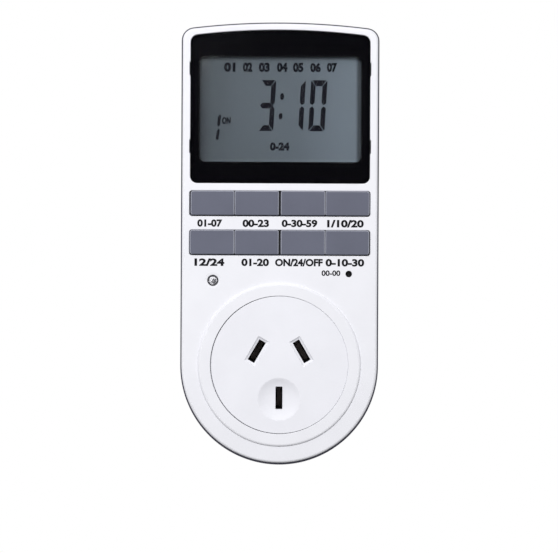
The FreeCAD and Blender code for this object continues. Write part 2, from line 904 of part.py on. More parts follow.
def casing_ribs(body):
    """Stiffening ribs behind the face, above, between and below the key rows."""
    half = INNER_HALF
    thick = mm.rib_thickness / 2
    gap_above = (mm.window_bottom + KEY_ROW_HIGH + mm.opening_height / 2 + mm.flange_reach) / 2
    gap_between = (KEY_ROW_HIGH + KEY_ROW_LOW) / 2
    gap_below = RESET[1] + mm.switch_size / 2 + mm.rib_thickness
    ribs = [rectangle(-half, half, z - thick, z + thick) for z in (gap_above, gap_between, gap_below)]
    pad(body, "FaceRibs", PANEL_BACK - mm.rib_depth, PANEL_BACK, *ribs)


def lamp_and_reset_holes(body):
    """The sunk lamp hole and the pin-hole, each with a guide tube behind it."""
    lamp_hole = mm.lamp_radius + mm.lamp_gap
    guide_back = PANEL_BACK - mm.guide_length
    tubes = [
        octagon(LAMP_ACROSS, LAMP_UP, lamp_hole + mm.guide_wall),
        octagon(*RESET, mm.reset_radius + mm.guide_wall),
    ]
    pad(body, "Guides", guide_back, PANEL_BACK, *tubes)
    cut(body, "LampHole", guide_back, mm.face_depth, circle(LAMP_ACROSS, LAMP_UP, lamp_hole))
    cut(body, "ResetHole", guide_back, mm.face_depth, circle(*RESET, mm.reset_radius))

    def on_lamp_rim(edge):
        middle = edge.BoundBox.Center
        aside = math.hypot(middle.x - LAMP_ACROSS.number, middle.z - LAMP_UP.number)
        return at_level(edge, mm.face_depth) and aside < mm.lamp_radius.number
    bevel(body, "LampSink", mm.lamp_sink, edges_where(body, on_lamp_rim))


def insert_catches(body):
    """Three snap catches that hold the socket insert's flange, one pattern."""
    near = FLANGE_RADIUS + mm.disc_gap
    half = mm.catch_width / 2
    post = rectangle(-half, half, near, near + mm.catch_thickness)
    nib = rectangle(-half, half, near - mm.disc_gap * 3, near + mm.catch_thickness)
    nib_front = FLANGE_BACK - mm.lip_gap
    first = pad(body, "CatchPost", nib_front - mm.catch_thickness, PANEL_BACK, post)
    second = pad(body, "CatchNib", nib_front - mm.catch_thickness, nib_front, nib)
    pattern = body.newObject("PartDesign::PolarPattern", "Catches")
    pattern.Originals = [first, second]
    axis = [item for item in body.Origin.OriginFeatures if item.Role == "Y_Axis"][0]
    pattern.Axis = (axis, [""])
    pattern.Angle = 360
    pattern.Occurrences = 3
    body.Tip = pattern
    document.recompute()


def hook_pockets(body):
    """Pockets in the top wall where the rear casing's hooks snap in."""
    nib_front = mm.split_depth + mm.hook_reach + mm.hook_gap
    nib_back = nib_front - mm.hook_nib - 2 * mm.hook_gap
    top = HOOK_TOP + mm.hook_nib + mm.hook_gap
    half = mm.hook_width / 2 + mm.hook_gap
    base = HOOK_TOP - mm.hook_thickness
    pockets = [rectangle(side * mm.hook_x - half, side * mm.hook_x + half, base, top) for side in (-1, 1)]
    cut(body, "HookPockets", nib_back, nib_front, *pockets)


def rear_casing():
    """The rear shell: plug boss, pin slots, screw columns, standoffs and hooks."""
    body = new_body("rear_casing")
    pad(body, "Block", WALL_BACK, mm.split_depth, casing_outline(0))
    rim = edges_where(body, lambda edge: at_level(edge, WALL_BACK))
    bevel(body, "BackBevel", mm.back_bevel, rim)
    cut(body, "Inside", WALL_FRONT, mm.split_depth, casing_outline(mm.side_wall))
    lip_front = mm.split_depth + mm.lip_height
    lip_back = mm.split_depth - mm.lip_height
    lip = [casing_outline(mm.lip_inset + mm.lip_gap), casing_outline(mm.side_wall)]
    pad(body, "Lip", lip_back, lip_front, *lip)
    pad(body, "PlugBoss", 0, WALL_BACK, circle(0, 0, PLUG_BOSS_RADIUS))

    columns = [octagon(x, z, mm.column_radius) for x, z in CASING_SCREWS]
    pad(body, "Columns", WALL_FRONT, mm.split_depth, *columns)
    bores = [octagon(x, z, mm.counterbore) for x, z in CASING_SCREWS]
    cut(body, "Counterbores", 0, mm.casing_head_at, *bores)
    shanks = [octagon(x, z, mm.casing_shank + mm.hole_gap) for x, z in CASING_SCREWS]
    cut(body, "ScrewHoles", mm.casing_head_at, mm.split_depth, *shanks)

    standoffs = [octagon(x, z, mm.standoff_radius) for x, z in POWER_SCREWS]
    pad(body, "Standoffs", WALL_FRONT, POWER_BACK, *standoffs)
    pilots = [octagon(x, z, mm.small_shank + mm.thread_gap) for x, z in POWER_SCREWS]
    cut(body, "PowerPilots", POWER_FRONT - mm.small_bite - mm.hole_gap, POWER_BACK, *pilots)

    width = mm.blade_width + 2 * mm.blade_fit
    thickness = mm.blade_thickness + 2 * mm.blade_fit
    cut(body, "PinSlots", 0, WALL_FRONT, *[tilted(blade, width, thickness) for blade in BLADES])
    holes = [octagon(x, z, mm.small_shank + mm.thread_gap) for x, z in INSERT_SCREWS]
    cut(body, "HolderPilots", HOLDER_FRONT - holder_screw_length() - mm.hole_gap, WALL_FRONT, *holes)
    snap_hooks(body)
    return body


def holder_screw_length():
    """Reach of the pin holder's screws into the wall behind it."""
    return mm.holder_thickness + mm.shoulder_height + mm.rear_wall


def snap_hooks(body):
    """Two hooks at the top that reach into the front casing."""
    for side, name in ((-1, "Left"), (1, "Right")):
        left = side * mm.hook_x - mm.hook_width / 2
        right = side * mm.hook_x + mm.hook_width / 2
        low = HOOK_TOP - mm.hook_thickness
        front = mm.split_depth + mm.hook_reach
        pad(body, name + "Hook", WALL_FRONT, front, rectangle(left, right, low, HOOK_TOP))
        nib = rectangle(left, right, low, HOOK_TOP + mm.hook_nib)
        pad(body, name + "Nib", front - mm.hook_nib, front, nib)


# Display

def display_window():
    """The clear window that fills the opening in the face."""
    body = new_body("display_window")
    pad(body, "Plate", WINDOW_BACK, WINDOW_FRONT, window_outline(mm.window_gap))
    return body


def display_surround():
    """The black surround: a plate behind the window with a bezel down to the display."""
    body = new_body("display_surround")
    pad(body, "Plate", SURROUND_BACK, WINDOW_BACK, window_outline(mm.window_gap))
    wall = mm.bezel_wall
    bezel = rectangle(-VIEW_HALF - wall, VIEW_HALF + wall, VIEW_BOTTOM - wall, VIEW_TOP + wall)
    pad(body, "Bezel", GLASS_FRONT, SURROUND_BACK, bezel)
    view = rounded(-VIEW_HALF, VIEW_HALF, VIEW_BOTTOM, VIEW_TOP, mm.view_corner)
    cut(body, "View", GLASS_FRONT, WINDOW_BACK, view)
    posts = [octagon(x, z, mm.high_post_radius) for x, z in HIGH_POSTS]
    pad(body, "Posts", CONTROL_FRONT, SURROUND_BACK, *posts)
    holes = [octagon(x, z, mm.small_shank + mm.thread_gap) for x, z in HIGH_POSTS]
    cut(body, "PostPilots", CONTROL_FRONT, CONTROL_FRONT + mm.small_bite + mm.hole_gap, *holes)
    near = WINDOW_HALF - mm.tab_height
    reach = WINDOW_HALF + mm.tab_reach - mm.window_gap
    tabs = []
    for level in WINDOW_TABS:
        low = level - mm.tab_height / 2
        high = level + mm.tab_height / 2
        tabs.append(rectangle(-reach, -near, low, high))
        tabs.append(rectangle(near, reach, low, high))
    pad(body, "Tabs", SURROUND_BACK, WINDOW_BACK, *tabs)
    return body


def lcd_panel():
    """Two glass plates; the front one is taller and carries the contact ledge."""
    body = new_body("lcd_panel")
    half = GLASS_HALF
    middle = GLASS_BACK + mm.glass_thickness
    pad(body, "FrontGlass", middle, GLASS_FRONT, rectangle(-half, half, GLASS_BOTTOM, GLASS_TOP))
    ledge = GLASS_BOTTOM + mm.glass_ledge
    pad(body, "RearGlass", GLASS_BACK, middle, rectangle(-half, half, ledge, GLASS_TOP))
    return body


def lcd_holder():
    """The frame that locates the display and the rubber strip on the board."""
    body = new_body("lcd_holder")
    gap = mm.holder_gap
    wall = mm.holder_wall + gap
    half = GLASS_HALF
    outer = rectangle(-half - wall, half + wall, GLASS_BOTTOM - wall, GLASS_TOP + wall)
    inner = rectangle(-half - gap, half + gap, GLASS_BOTTOM - gap, GLASS_TOP + gap)
    pad(body, "Frame", CONTROL_FRONT, GLASS_FRONT, outer)
    cut(body, "GlassSeat", GLASS_BACK, GLASS_FRONT, inner)
    ledge = GLASS_BOTTOM + mm.glass_ledge + mm.bezel_wall
    cut(body, "BackOpening", CONTROL_FRONT, GLASS_BACK, rectangle(-VIEW_HALF, VIEW_HALF, ledge, VIEW_TOP))
    slot = STRIP_HALF + gap
    low = GLASS_BOTTOM + gap
    high = low + mm.strip_width + 2 * gap
    cut(body, "StripSlot", CONTROL_FRONT, GLASS_BACK, rectangle(-slot, slot, low, high))
    return body


def contact_strip():
    """The striped rubber strip that joins the display to the board."""
    body = new_body("contact_strip")
    low = GLASS_BOTTOM + 2 * mm.holder_gap
    outline = rectangle(-STRIP_HALF, STRIP_HALF, low, low + mm.strip_width)
    front = GLASS_BACK + mm.glass_thickness
    pad(body, "Strip", CONTROL_FRONT, front, outline)
    return body


# Keys and switches

def key(name):
    """One grey cap: bevelled top, retaining flange and a stem to its switch."""
    body = new_body(name + "_key")
    across, up = KEYS[name]
    half = KEY_WIDTH / 2
    tall = mm.key_height / 2
    pad(body, "Cap", KEY_FLANGE_FRONT, KEY_FRONT, rectangle(-half, half, -tall, tall))
    if name in ("week", "clock", "recall", "random"):
        side = math.copysign(1, across.number)

        def on_outer_corner(edge):
            box = edge.BoundBox
            upright = box.YLength > 1 and box.XLength < 0.001
            return upright and box.Center.x * side > 0
        bevel(body, "OuterCorners", mm.key_corner, edges_where(body, on_outer_corner))
    top_edges = edges_where(body, lambda edge: at_level(edge, KEY_FRONT))
    bevel(body, "TopBevel", mm.key_bevel, top_edges)
    flange = mm.opening_height / 2 + mm.flange_reach
    pad(body, "Flange", KEY_FLANGE_BACK, KEY_FLANGE_FRONT, rectangle(-half, half, -flange, flange))
    wall = mm.key_hollow_wall
    hollow = rectangle(wall - half, half - wall, wall - tall, tall - wall)
    cut(body, "Hollow", KEY_FLANGE_BACK, mm.face_depth - mm.key_hollow_wall, hollow)
    stem = centred(as_value(0), as_value(0), mm.key_stem, mm.key_stem)
    pad(body, "Stem", BUTTON_FRONT, mm.face_depth - mm.key_hollow_wall, stem)
    place(body, across, up)
    return body


def switch_button(name, across, up):
    """The button of one push switch."""
    body = new_body(name + "_button")
    back = BUTTON_FRONT - mm.button_length
    pad(body, "Button", back, BUTTON_FRONT, octagon(0, 0, mm.button_radius))
    place(body, across, up)
    return body


def switch_bases():
    """Nine switch bases on the control board, each with a well for its button."""
    body = new_body("switch_bases")
    size = mm.switch_size
    front = SWITCH_FRONT - mm.switch_cover
    pad(body, "Bases", CONTROL_FRONT, front, *[centred(x, z, size, size) for x, z in SWITCHES])
    well = mm.button_radius + mm.button_gap
    floor = BUTTON_FRONT - mm.button_length - mm.switch_travel - mm.button_gap
    cut(body, "Wells", floor, front, *[octagon(x, z, well) for x, z in SWITCHES])
    return body


def switch_covers():
    """Nine sheet covers that hold the buttons in their bases."""
    body = new_body("switch_covers")
    size = mm.switch_size
    back = SWITCH_FRONT - mm.switch_cover
    pad(body, "Covers", back, SWITCH_FRONT, *[centred(x, z, size, size) for x, z in SWITCHES])
    hole = mm.button_radius + mm.button_gap
    cut(body, "Holes", back, SWITCH_FRONT, *[octagon(x, z, hole) for x, z in SWITCHES])
    return body


# Control board

def control_board():
    """The board behind the face, notched round the socket insert."""
    body = new_body("control_board")
    half = CONTROL_HALF
    top = CONTROL_TOP
    snip = mm.control_corner
    outline = polygon(
        (-half, CONTROL_BOTTOM),
        (half, CONTROL_BOTTOM),
        (half, top - snip),
        (half - snip, top),
        (snip - half, top),
        (-half, top - snip),
    )
    pad(body, "Board", CONTROL_BACK, CONTROL_FRONT, outline)
    notch = FLANGE_RADIUS + mm.disc_gap + mm.catch_thickness + mm.notch_gap
    cut(body, "Notch", CONTROL_BACK, CONTROL_FRONT, circle(0, 0, notch))
    hole = mm.small_shank + mm.hole_gap
    holes = [octagon(x, z, hole) for x, z in LOW_POSTS + HIGH_POSTS]
    cut(body, "Holes", CONTROL_BACK, CONTROL_FRONT, *holes)
    return body


def controller_chip():
    """The square chip on the back of the control board."""
    body = new_body("controller_chip")
    back = CONTROL_BACK - mm.chip_height
    package = centred(as_value(0), as_value(0), mm.chip_width, mm.chip_width)
    pad(body, "Package", back, CONTROL_BACK, package)
    rim = edges_where(body, lambda edge: at_level(edge, back))
    bevel(body, "PackageBevel", mm.chip_bevel, rim)
    place(body, mm.chip_x, CONTROL_TOP - mm.chip_drop)
    return body


def clock_crystal():
    """The small can that keeps the time, lying on the control board."""
    body = new_body("clock_crystal")
    middle = CONTROL_BACK - mm.crystal_radius
    half = mm.crystal_length / 2
    can = octagon(0, -middle, mm.crystal_radius)
    pad(body, "Can", -half, half, can, plane="XY_Plane")
    place(body, mm.crystal_x, CONTROL_TOP - mm.crystal_drop)
    return body


def backup_battery():
    """The round cell that keeps the settings when unplugged."""
    body = new_body("backup_battery")
    back = CONTROL_BACK - mm.cell_height
    foot = CONTROL_BACK - mm.cell_foot
    pad(body, "Can", back, foot, barrel(0, 0, mm.cell_radius))
    pad(body, "Foot", foot, CONTROL_BACK, octagon(0, 0, mm.cell_radius - mm.cell_step))
    place(body, mm.cell_x, CONTROL_TOP - mm.cell_drop)
    return body


def pilot_lamp():
    """The clear round lamp with its flange and two leads to the board."""
    body = new_body("pilot_lamp")
    pad(body, "Lens", LAMP_BACK, LAMP_FRONT, circle(0, 0, mm.lamp_radius))
    tip = edges_where(body, lambda edge: at_level(edge, LAMP_FRONT))
    bevel(body, "Dome", mm.lamp_dome, tip)
    flange_front = LAMP_BACK + mm.lamp_flange_height
    pad(body, "Flange", LAMP_BACK, flange_front, octagon(0, 0, mm.lamp_flange))
    lead = 2 * mm.lamp_lead
    leads = [centred(side * mm.lamp_pitch / 2, as_value(0), lead, lead) for side in (-1, 1)]
    pad(body, "Leads", CONTROL_FRONT, LAMP_BACK, *leads)
    place(body, LAMP_ACROSS, LAMP_UP)
    return body


# Socket

def socket_insert():
    """The round socket face with its slots, earth dish and contact chambers."""
    body = new_body("socket_insert")
    pad(body, "Disc", PANEL_BACK, DISC_FRONT, circle(0, 0, DISC_RADIUS))
    rim = edges_where(body, lambda edge: at_level(edge, DISC_FRONT))
    bevel(body, "DiscBevel", mm.disc_bevel, rim)
    pad(body, "Flange", FLANGE_BACK, PANEL_BACK, circle(0, 0, FLANGE_RADIUS))
    length = mm.chamber_length + 2 * mm.chamber_wall
    width = mm.chamber_width + 2 * mm.chamber_wall
    for blade in BLADES:
        pad(body, blade.title() + "Tower", INSERT_BACK, FLANGE_BACK, tilted(blade, length, width))
    towers = [octagon(x, z, mm.small_head + mm.hole_gap) for x, z in INSERT_SCREWS]
    pad(body, "ScrewTowers", INSERT_BACK, FLANGE_BACK, *towers)
    chambers = [tilted(blade, mm.chamber_length, mm.chamber_width) for blade in BLADES]
    cut(body, "Chambers", INSERT_BACK, FLANGE_BACK, *chambers)
    pilots = [octagon(x, z, mm.small_shank + mm.thread_gap) for x, z in INSERT_SCREWS]
    cut(body, "Pilots", INSERT_BACK, INSERT_BACK + mm.small_bite + mm.carrier_thickness, *pilots)

    slots = [tilted(blade, mm.slot_length, mm.slot_width) for blade in ("active", "neutral")]
    cut(body, "Slots", FLANGE_BACK, DISC_FRONT, *slots)

    def on_slot_mouth(edge):
        return at_level(edge, DISC_FRONT) and edge.Curve.TypeId == "Part::GeomLine"
    bevel(body, "LeadIns", mm.lead_in, edges_where(body, on_slot_mouth))
    earth_dish(body)
    earth_slot = tilted("earth", mm.earth_slot_length, mm.earth_slot_width)
    cut(body, "EarthSlot", FLANGE_BACK, DISC_FRONT, earth_slot)
    return body


def earth_dish(body):
    """The shallow round dish about the earth slot, with a flat floor."""
    dish = body.newObject("PartDesign::SubtractiveCone", "EarthDish")
    support = [item for item in body.Origin.OriginFeatures if item.Role == "XZ_Plane"][0]
    dish.AttachmentSupport = (support, [""])
    dish.MapMode = "FlatFace"
    dish.setExpression("Radius1", mm.dish_floor.text)
    dish.setExpression("Radius2", mm.dish_radius.text)
    dish.setExpression("Height", mm.dish_depth.text)
    dish.setExpression("AttachmentOffset.Base.y", (-(mm.earth_drop + mm.dish_shift)).text)
    dish.setExpression("AttachmentOffset.Base.z", (DISC_FRONT - mm.dish_depth).text)
    document.recompute()


def contact_carrier():
    """The plate that closes the chambers and holds the contacts in them."""
    body = new_body("contact_carrier")
    pad(body, "Plate", CARRIER_BACK, INSERT_BACK, octagon(0, 0, INSERT_RADIUS - mm.carrier_gap))
    hole = mm.small_shank + mm.hole_gap
    cut(body, "ScrewHoles", CARRIER_BACK, INSERT_BACK, *[octagon(x, z, hole) for x, z in INSERT_SCREWS])
    length = mm.tail_width + 2 * mm.blade_fit
    width = mm.strip_thickness + 2 * mm.blade_fit
    slots = [tilted(blade, length, width, tail_shift(blade)) for blade in BLADES]
    cut(body, "TailSlots", CARRIER_BACK, INSERT_BACK, *slots)
    return body


def strap_side(blade):
    """The side of a blade, across its thickness, that its strap lies on."""
    return -1 if blade == "neutral" else 1


def tail_shift(blade):
    """Where a contact's tail stands, so that a strap lies flat on pin and contact."""
    return (mm.blade_thickness - mm.strip_thickness) / 2 * strap_side(blade)


def place_at_blade(body, blade):
    across, up, lean = BLADES[blade]
    place(body, across, up, lean)


def socket_contact(blade):
    """A folded spring contact: two leaves that pinch a blade, and a tail."""
    body = new_body(blade + "_contact")
    thick = mm.strip_thickness
    base = INSERT_BACK
    tip = base + mm.contact_reach
    pinch = base + mm.contact_reach * 0.76
    knee = base + mm.contact_reach * 0.44
    leaf = [
        (mm.contact_spread + thick, -base),
        (mm.contact_spread + thick, -knee),
        (mm.contact_grip + thick, -pinch),
        (mm.contact_mouth + thick, -tip),
        (mm.contact_mouth, -tip),
        (mm.contact_grip, -pinch),
        (mm.contact_spread, -knee),
        (mm.contact_spread, -(base + thick)),
    ]
    mirrored = [(-across, along) for across, along in reversed(leaf)]
    half = mm.contact_width / 2
    pad(body, "Leaves", -half, half, polygon(*(leaf + mirrored)), plane="XY_Plane")
    tail = centred(tail_shift(blade), as_value(0), thick, mm.tail_width)
    pad(body, "Tail", TAIL_BACK, base, tail)
    place_at_blade(body, blade)
    return body


def strap(blade):
    """The flat strap that joins a pin's tail to the contact in front of it."""
    body = new_body(blade + "_strap")
    middle = (mm.blade_thickness + mm.strip_thickness) / 2 * strap_side(blade)
    plate = centred(middle, as_value(0), mm.strip_thickness, mm.tail_width)
    pad(body, "Plate", HOLDER_FRONT + mm.blade_fit, TAIL_BACK + mm.strap_spare, plate)
    place_at_blade(body, blade)
    return body


# Plug

def plug_pin(blade):
    """A flat pin: bevelled tip, neck for its sleeve, shoulder and tail."""
    body = new_body(blade + "_pin")
    width = mm.blade_width
    thickness = mm.blade_thickness
    zero = as_value(0)
    length = mm.earth_length if blade == "earth" else mm.blade_length
    bare_from = zero if blade == "earth" else -mm.sleeve_length
    pad(body, "Blade", -length, bare_from, centred(zero, zero, thickness, width))
    tip = edges_where(body, lambda edge: at_level(edge, -length))
    bevel(body, "TipBevel", mm.blade_bevel, tip)
    if blade != "earth":
        neck = centred(zero, zero, thickness - 2 * mm.sleeve_wall, width - 2 * mm.sleeve_wall)
        pad(body, "Neck", bare_from, zero, neck)
    pad(body, "Root", zero, WALL_FRONT, centred(zero, zero, thickness, width))
    pad(body, "Shoulder", WALL_FRONT, SHOULDER_FRONT, centred(zero, zero, thickness, mm.shoulder_width))
    pad(body, "Tail", SHOULDER_FRONT, PIN_FRONT, centred(zero, zero, thickness, mm.tail_width))
    place_at_blade(body, blade)
    return body


def pin_sleeves():
    """The insulating sleeves round the necks of the active and neutral pins."""
    body = new_body("pin_sleeves")
    live = ("active", "neutral")
    wall = 2 * mm.sleeve_wall
    outer = [tilted(blade, mm.blade_width, mm.blade_thickness) for blade in live]
    inner = [tilted(blade, mm.blade_width - wall, mm.blade_thickness - wall) for blade in live]
    pad(body, "Sleeves", -mm.sleeve_length, 0, *outer)
    cut(body, "Bores", -mm.sleeve_length, 0, *inner)
    return body


def pin_holder():
    """The moulded plate that clamps the pins' shoulders to the rear wall."""
    body = new_body("pin_holder")
    radius = HALF - mm.low_screw_inset - mm.column_radius - mm.pin_holder_gap
    pad(body, "Plate", WALL_FRONT, HOLDER_FRONT, octagon(0, 0, radius))
    room = 2 * mm.blade_fit
    seats = [tilted(b, mm.shoulder_width + room, mm.blade_thickness + room) for b in BLADES]
    cut(body, "ShoulderSeats", WALL_FRONT, SHOULDER_FRONT, *seats)
    tails = [tilted(b, mm.tail_width + room, mm.blade_thickness + room) for b in BLADES]
    cut(body, "TailSlots", SHOULDER_FRONT, HOLDER_FRONT, *tails)
    hole = mm.small_shank + mm.hole_gap
    cut(body, "ScrewHoles", WALL_FRONT, HOLDER_FRONT, *[octagon(x, z, hole) for x, z in INSERT_SCREWS])
    return body


# Power board

def power_board():
    """The board on the rear casing's standoffs."""
    body = new_body("power_board")
    outline = rectangle(-POWER_HALF, POWER_HALF, mm.power_bottom, POWER_TOP)
    pad(body, "Board", POWER_BACK, POWER_FRONT, outline)
    hole = mm.small_shank + mm.hole_gap
    cut(body, "Holes", POWER_BACK, POWER_FRONT, *[octagon(x, z, hole) for x, z in POWER_SCREWS])
    return body


def dropper_capacitor():
    """The box capacitor that drops the mains voltage."""
    body = new_body("dropper_capacitor")
    front = POWER_FRONT + mm.dropper_height
    outline = centred(as_value(0), as_value(0), mm.dropper_length, mm.dropper_width)
    pad(body, "Case", POWER_FRONT, front, outline)
    top = edges_where(body, lambda edge: at_level(edge, front))
    bevel(body, "CaseRound", mm.dropper_round, top)
    place(body, mm.dropper_x, mm.power_bottom + mm.dropper_rise)
    return body


def smoothing_capacitors():
    """Two upright cans side by side."""
    body = new_body("smoothing_capacitors")
    front = POWER_FRONT + mm.smoother_height
    places = [as_value(0), mm.smoother_pitch]
    pad(body, "Cans", POWER_FRONT, front, *[barrel(x, 0, mm.smoother_radius) for x in places])
    place(body, mm.smoother_x, POWER_TOP - mm.smoother_drop)
    return body


def varistor():
    """The coated disc that absorbs surges, standing on edge."""
    body = new_body("varistor")
    middle = POWER_FRONT + mm.varistor_radius
    half = mm.varistor_thickness / 2
    disc = barrel(0, -middle, mm.varistor_radius)
    pad(body, "Disc", -half, half, disc, plane="XY_Plane")
    place(body, mm.varistor_x, mm.power_bottom + mm.varistor_rise)
    return body


def lying_parts(label, count, pitch, radius, length, across, up):
    """A row of round parts that lie on the power board, side by side."""
    body = new_body(label)
    middle = POWER_FRONT + radius
    half = length / 2
    rounds = [octagon(-middle, pitch * index, radius) for index in range(count)]
    pad(body, "Rounds", -half, half, *rounds, plane="YZ_Plane")
    place(body, across, up)
    return body


def diodes():
    return lying_parts("rectifier_diodes", 4, mm.diode_pitch, mm.diode_radius, mm.diode_length,
                       mm.diode_x, mm.power_bottom + mm.diode_rise)


def resistor():
    return lying_parts("surge_resistor", 1, as_value(0), mm.resistor_radius, mm.resistor_length,
                       mm.resistor_x, mm.power_bottom + mm.resistor_rise)


# Relay, in its own frame about its middle

RELAY_SEAT = POWER_FRONT + mm.relay_base
YOKE_BACK = RELAY_SEAT + mm.relay_plinth
COIL_BACK = YOKE_BACK + mm.yoke_thickness
COIL_FRONT = COIL_BACK + mm.coil_length
POLE_FRONT = COIL_FRONT + mm.pole_height
ARMATURE_BACK = POLE_FRONT + mm.air_gap
YOKE_FRONT = ARMATURE_BACK - mm.armature_lift
ARMATURE_FRONT = ARMATURE_BACK + mm.armature_thickness


def relay_block(across, up, width, height):
    return centred(as_value(across), as_value(up), width, height)


def relay_base():
    """The relay's base with the plinth that its cover fits round."""
    body = new_body("relay_base")
    pad(body, "Base", POWER_FRONT, RELAY_SEAT, relay_block(0, 0, mm.relay_length, mm.relay_width))
    inside = 2 * (mm.relay_wall + mm.relay_gap)
    plinth = relay_block(0, 0, mm.relay_length - inside, mm.relay_width - inside)
    pad(body, "Plinth", RELAY_SEAT, YOKE_BACK, plinth)
    place(body, mm.relay_x, mm.power_bottom + mm.relay_rise)
    return body


def relay_cover():
    """The relay's box cover."""
    body = new_body("relay_cover")
    front = POWER_FRONT + mm.relay_height
    pad(body, "Box", RELAY_SEAT, front, relay_block(0, 0, mm.relay_length, mm.relay_width))
    inside = 2 * mm.relay_wall
    hollow = relay_block(0, 0, mm.relay_length - inside, mm.relay_width - inside)
    cut(body, "Hollow", RELAY_SEAT, front - mm.relay_wall, hollow)
    place(body, mm.relay_x, mm.power_bottom + mm.relay_rise)
    return body


def relay_yoke():
    """The iron yoke, with the core that the coil sits on and its pole face."""
    body = new_body("relay_yoke")
    half = mm.yoke_width / 2
    end = mm.yoke_end
    foot = rectangle(mm.coil_x - mm.pole_radius, end, -half, half)
    pad(body, "Foot", YOKE_BACK, COIL_BACK, foot)
    upright = rectangle(end - mm.yoke_thickness, end, -half, half)
    pad(body, "Upright", COIL_BACK, YOKE_FRONT, upright)
    pad(body, "Core", COIL_BACK, COIL_FRONT, octagon(mm.coil_x, 0, mm.core_radius))
    pad(body, "Pole", COIL_FRONT, POLE_FRONT, octagon(mm.coil_x, 0, mm.pole_radius))
    place(body, mm.relay_x, mm.power_bottom + mm.relay_rise)
    return body


def relay_coil():
    """The winding on its flanged bobbin."""
    body = new_body("relay_coil")
    lower = COIL_BACK + mm.coil_flange_height
    upper = COIL_FRONT - mm.coil_flange_height
    flange = relay_block(mm.coil_x, 0, mm.bobbin_width, mm.bobbin_width)
    pad(body, "LowFlange", COIL_BACK, lower, flange)
    pad(body, "Winding", lower, upper, barrel(mm.coil_x, 0, mm.coil_radius))
    pad(body, "HighFlange", upper, COIL_FRONT, flange)
    cut(body, "Bore", COIL_BACK, COIL_FRONT, octagon(mm.coil_x, 0, mm.core_radius + mm.core_gap))
    place(body, mm.relay_x, mm.power_bottom + mm.relay_rise)
    return body


def relay_armature():
    """The iron plate that tips on the yoke's edge towards the pole."""
    body = new_body("relay_armature")
    half = mm.armature_width / 2
    plate = rectangle(mm.yoke_end - mm.armature_length, mm.yoke_end, -half, half)
    pad(body, "Plate", ARMATURE_BACK, ARMATURE_FRONT, plate)
    place(body, mm.relay_x, mm.power_bottom + mm.relay_rise)
    return body


def relay_contact_arm():
    """The spring blade on the armature, with its contact rivet."""
    body = new_body("relay_contact_arm")
    half = mm.arm_width / 2
    front = ARMATURE_FRONT + mm.arm_thickness
    pad(body, "Blade", ARMATURE_FRONT, front, rectangle(mm.arm_end, mm.arm_start, -half, half))
    rivet = octagon(mm.rivet_x, 0, mm.rivet_radius)
    pad(body, "Rivet", ARMATURE_FRONT - mm.rivet_height, ARMATURE_FRONT, rivet)
    place(body, mm.relay_x, mm.power_bottom + mm.relay_rise)
    return body


def relay_fixed_contact():
    """The post that the arm's rivet closes on."""
    body = new_body("relay_fixed_contact")
    front = ARMATURE_FRONT - mm.rivet_height - mm.contact_gap
    post = relay_block(mm.rivet_x, 0, mm.fixed_thickness, mm.fixed_width)
    pad(body, "Post", YOKE_BACK, front, post)
    place(body, mm.relay_x, mm.power_bottom + mm.relay_rise)
    return body


# Wiring and screws

def lead(label, foot, tip, way):
    """A lead with two bends, in the plane through its ends.

    foot and tip are the across, up and forward places of its end faces. It sets out
    forward when way is 1 and backward when way is -1, and it ends going backward.
    """
    body = new_body(label)
    across = tip[0] - foot[0]
    up = tip[1] - foot[1]
    run = root(across * across + up * up)
    bend = mm.lead_bend
    level = foot[2] + (bend + mm.lead_rise) * way

    def path(outline):
        r = bend.number
        out = level.number - way * r
        far = run.number
        high = -level.number
        low_turn = arc(Vector(r, -out, 0), r, math.pi, 1.5 * math.pi)
        if way < 0:
            low_turn = arc(Vector(r, -out, 0), r, 0.5 * math.pi, math.pi)
        rise = outline.add(Part.LineSegment(Vector(0, -foot[2].number, 0), Vector(0, -out, 0)))
        first_turn = outline.add(low_turn)
        across_run = outline.add(Part.LineSegment(Vector(r, high, 0), Vector(far - r, high, 0)))
        last_turn = outline.add(arc(Vector(far - r, high + r, 0), r, 1.5 * math.pi, 2 * math.pi))
        fall = outline.add(Part.LineSegment(Vector(far, high + r, 0), Vector(far, -tip[2].number, 0)))
        turn_in, turn_out = start(first_turn), end(first_turn)
        if way < 0:
            turn_in, turn_out = turn_out, turn_in
        outline.hold("Tangent", *end(rise), *turn_in)
        outline.hold("Tangent", *turn_out, *start(across_run))
        outline.hold("Tangent", *end(across_run), *start(last_turn))
        outline.hold("Tangent", *end(last_turn), *start(fall))
        outline.hold("Vertical", rise)
        outline.hold("Horizontal", across_run)
        outline.hold("Vertical", fall)
        outline.locate(start(rise), 0, -foot[2])
        outline.locate(end(fall), run, -tip[2])
        outline.locate(start(across_run), up=-level)
        outline.measure("Radius", first_turn, bend)
        outline.measure("Radius", last_turn, bend)

    spine = new_sketch(body, "Path", 0, [path], "XY_Plane")
    section = new_sketch(body, "Section", foot[2], [equal_sided(6, 0, 0, mm.lead_radius)])
    pipe = body.newObject("PartDesign::AdditivePipe", "Wire")
    pipe.Profile = section
    pipe.Spine = spine
    document.recompute()
    place(body, foot[0], foot[1], -heading(across, up))
    return body


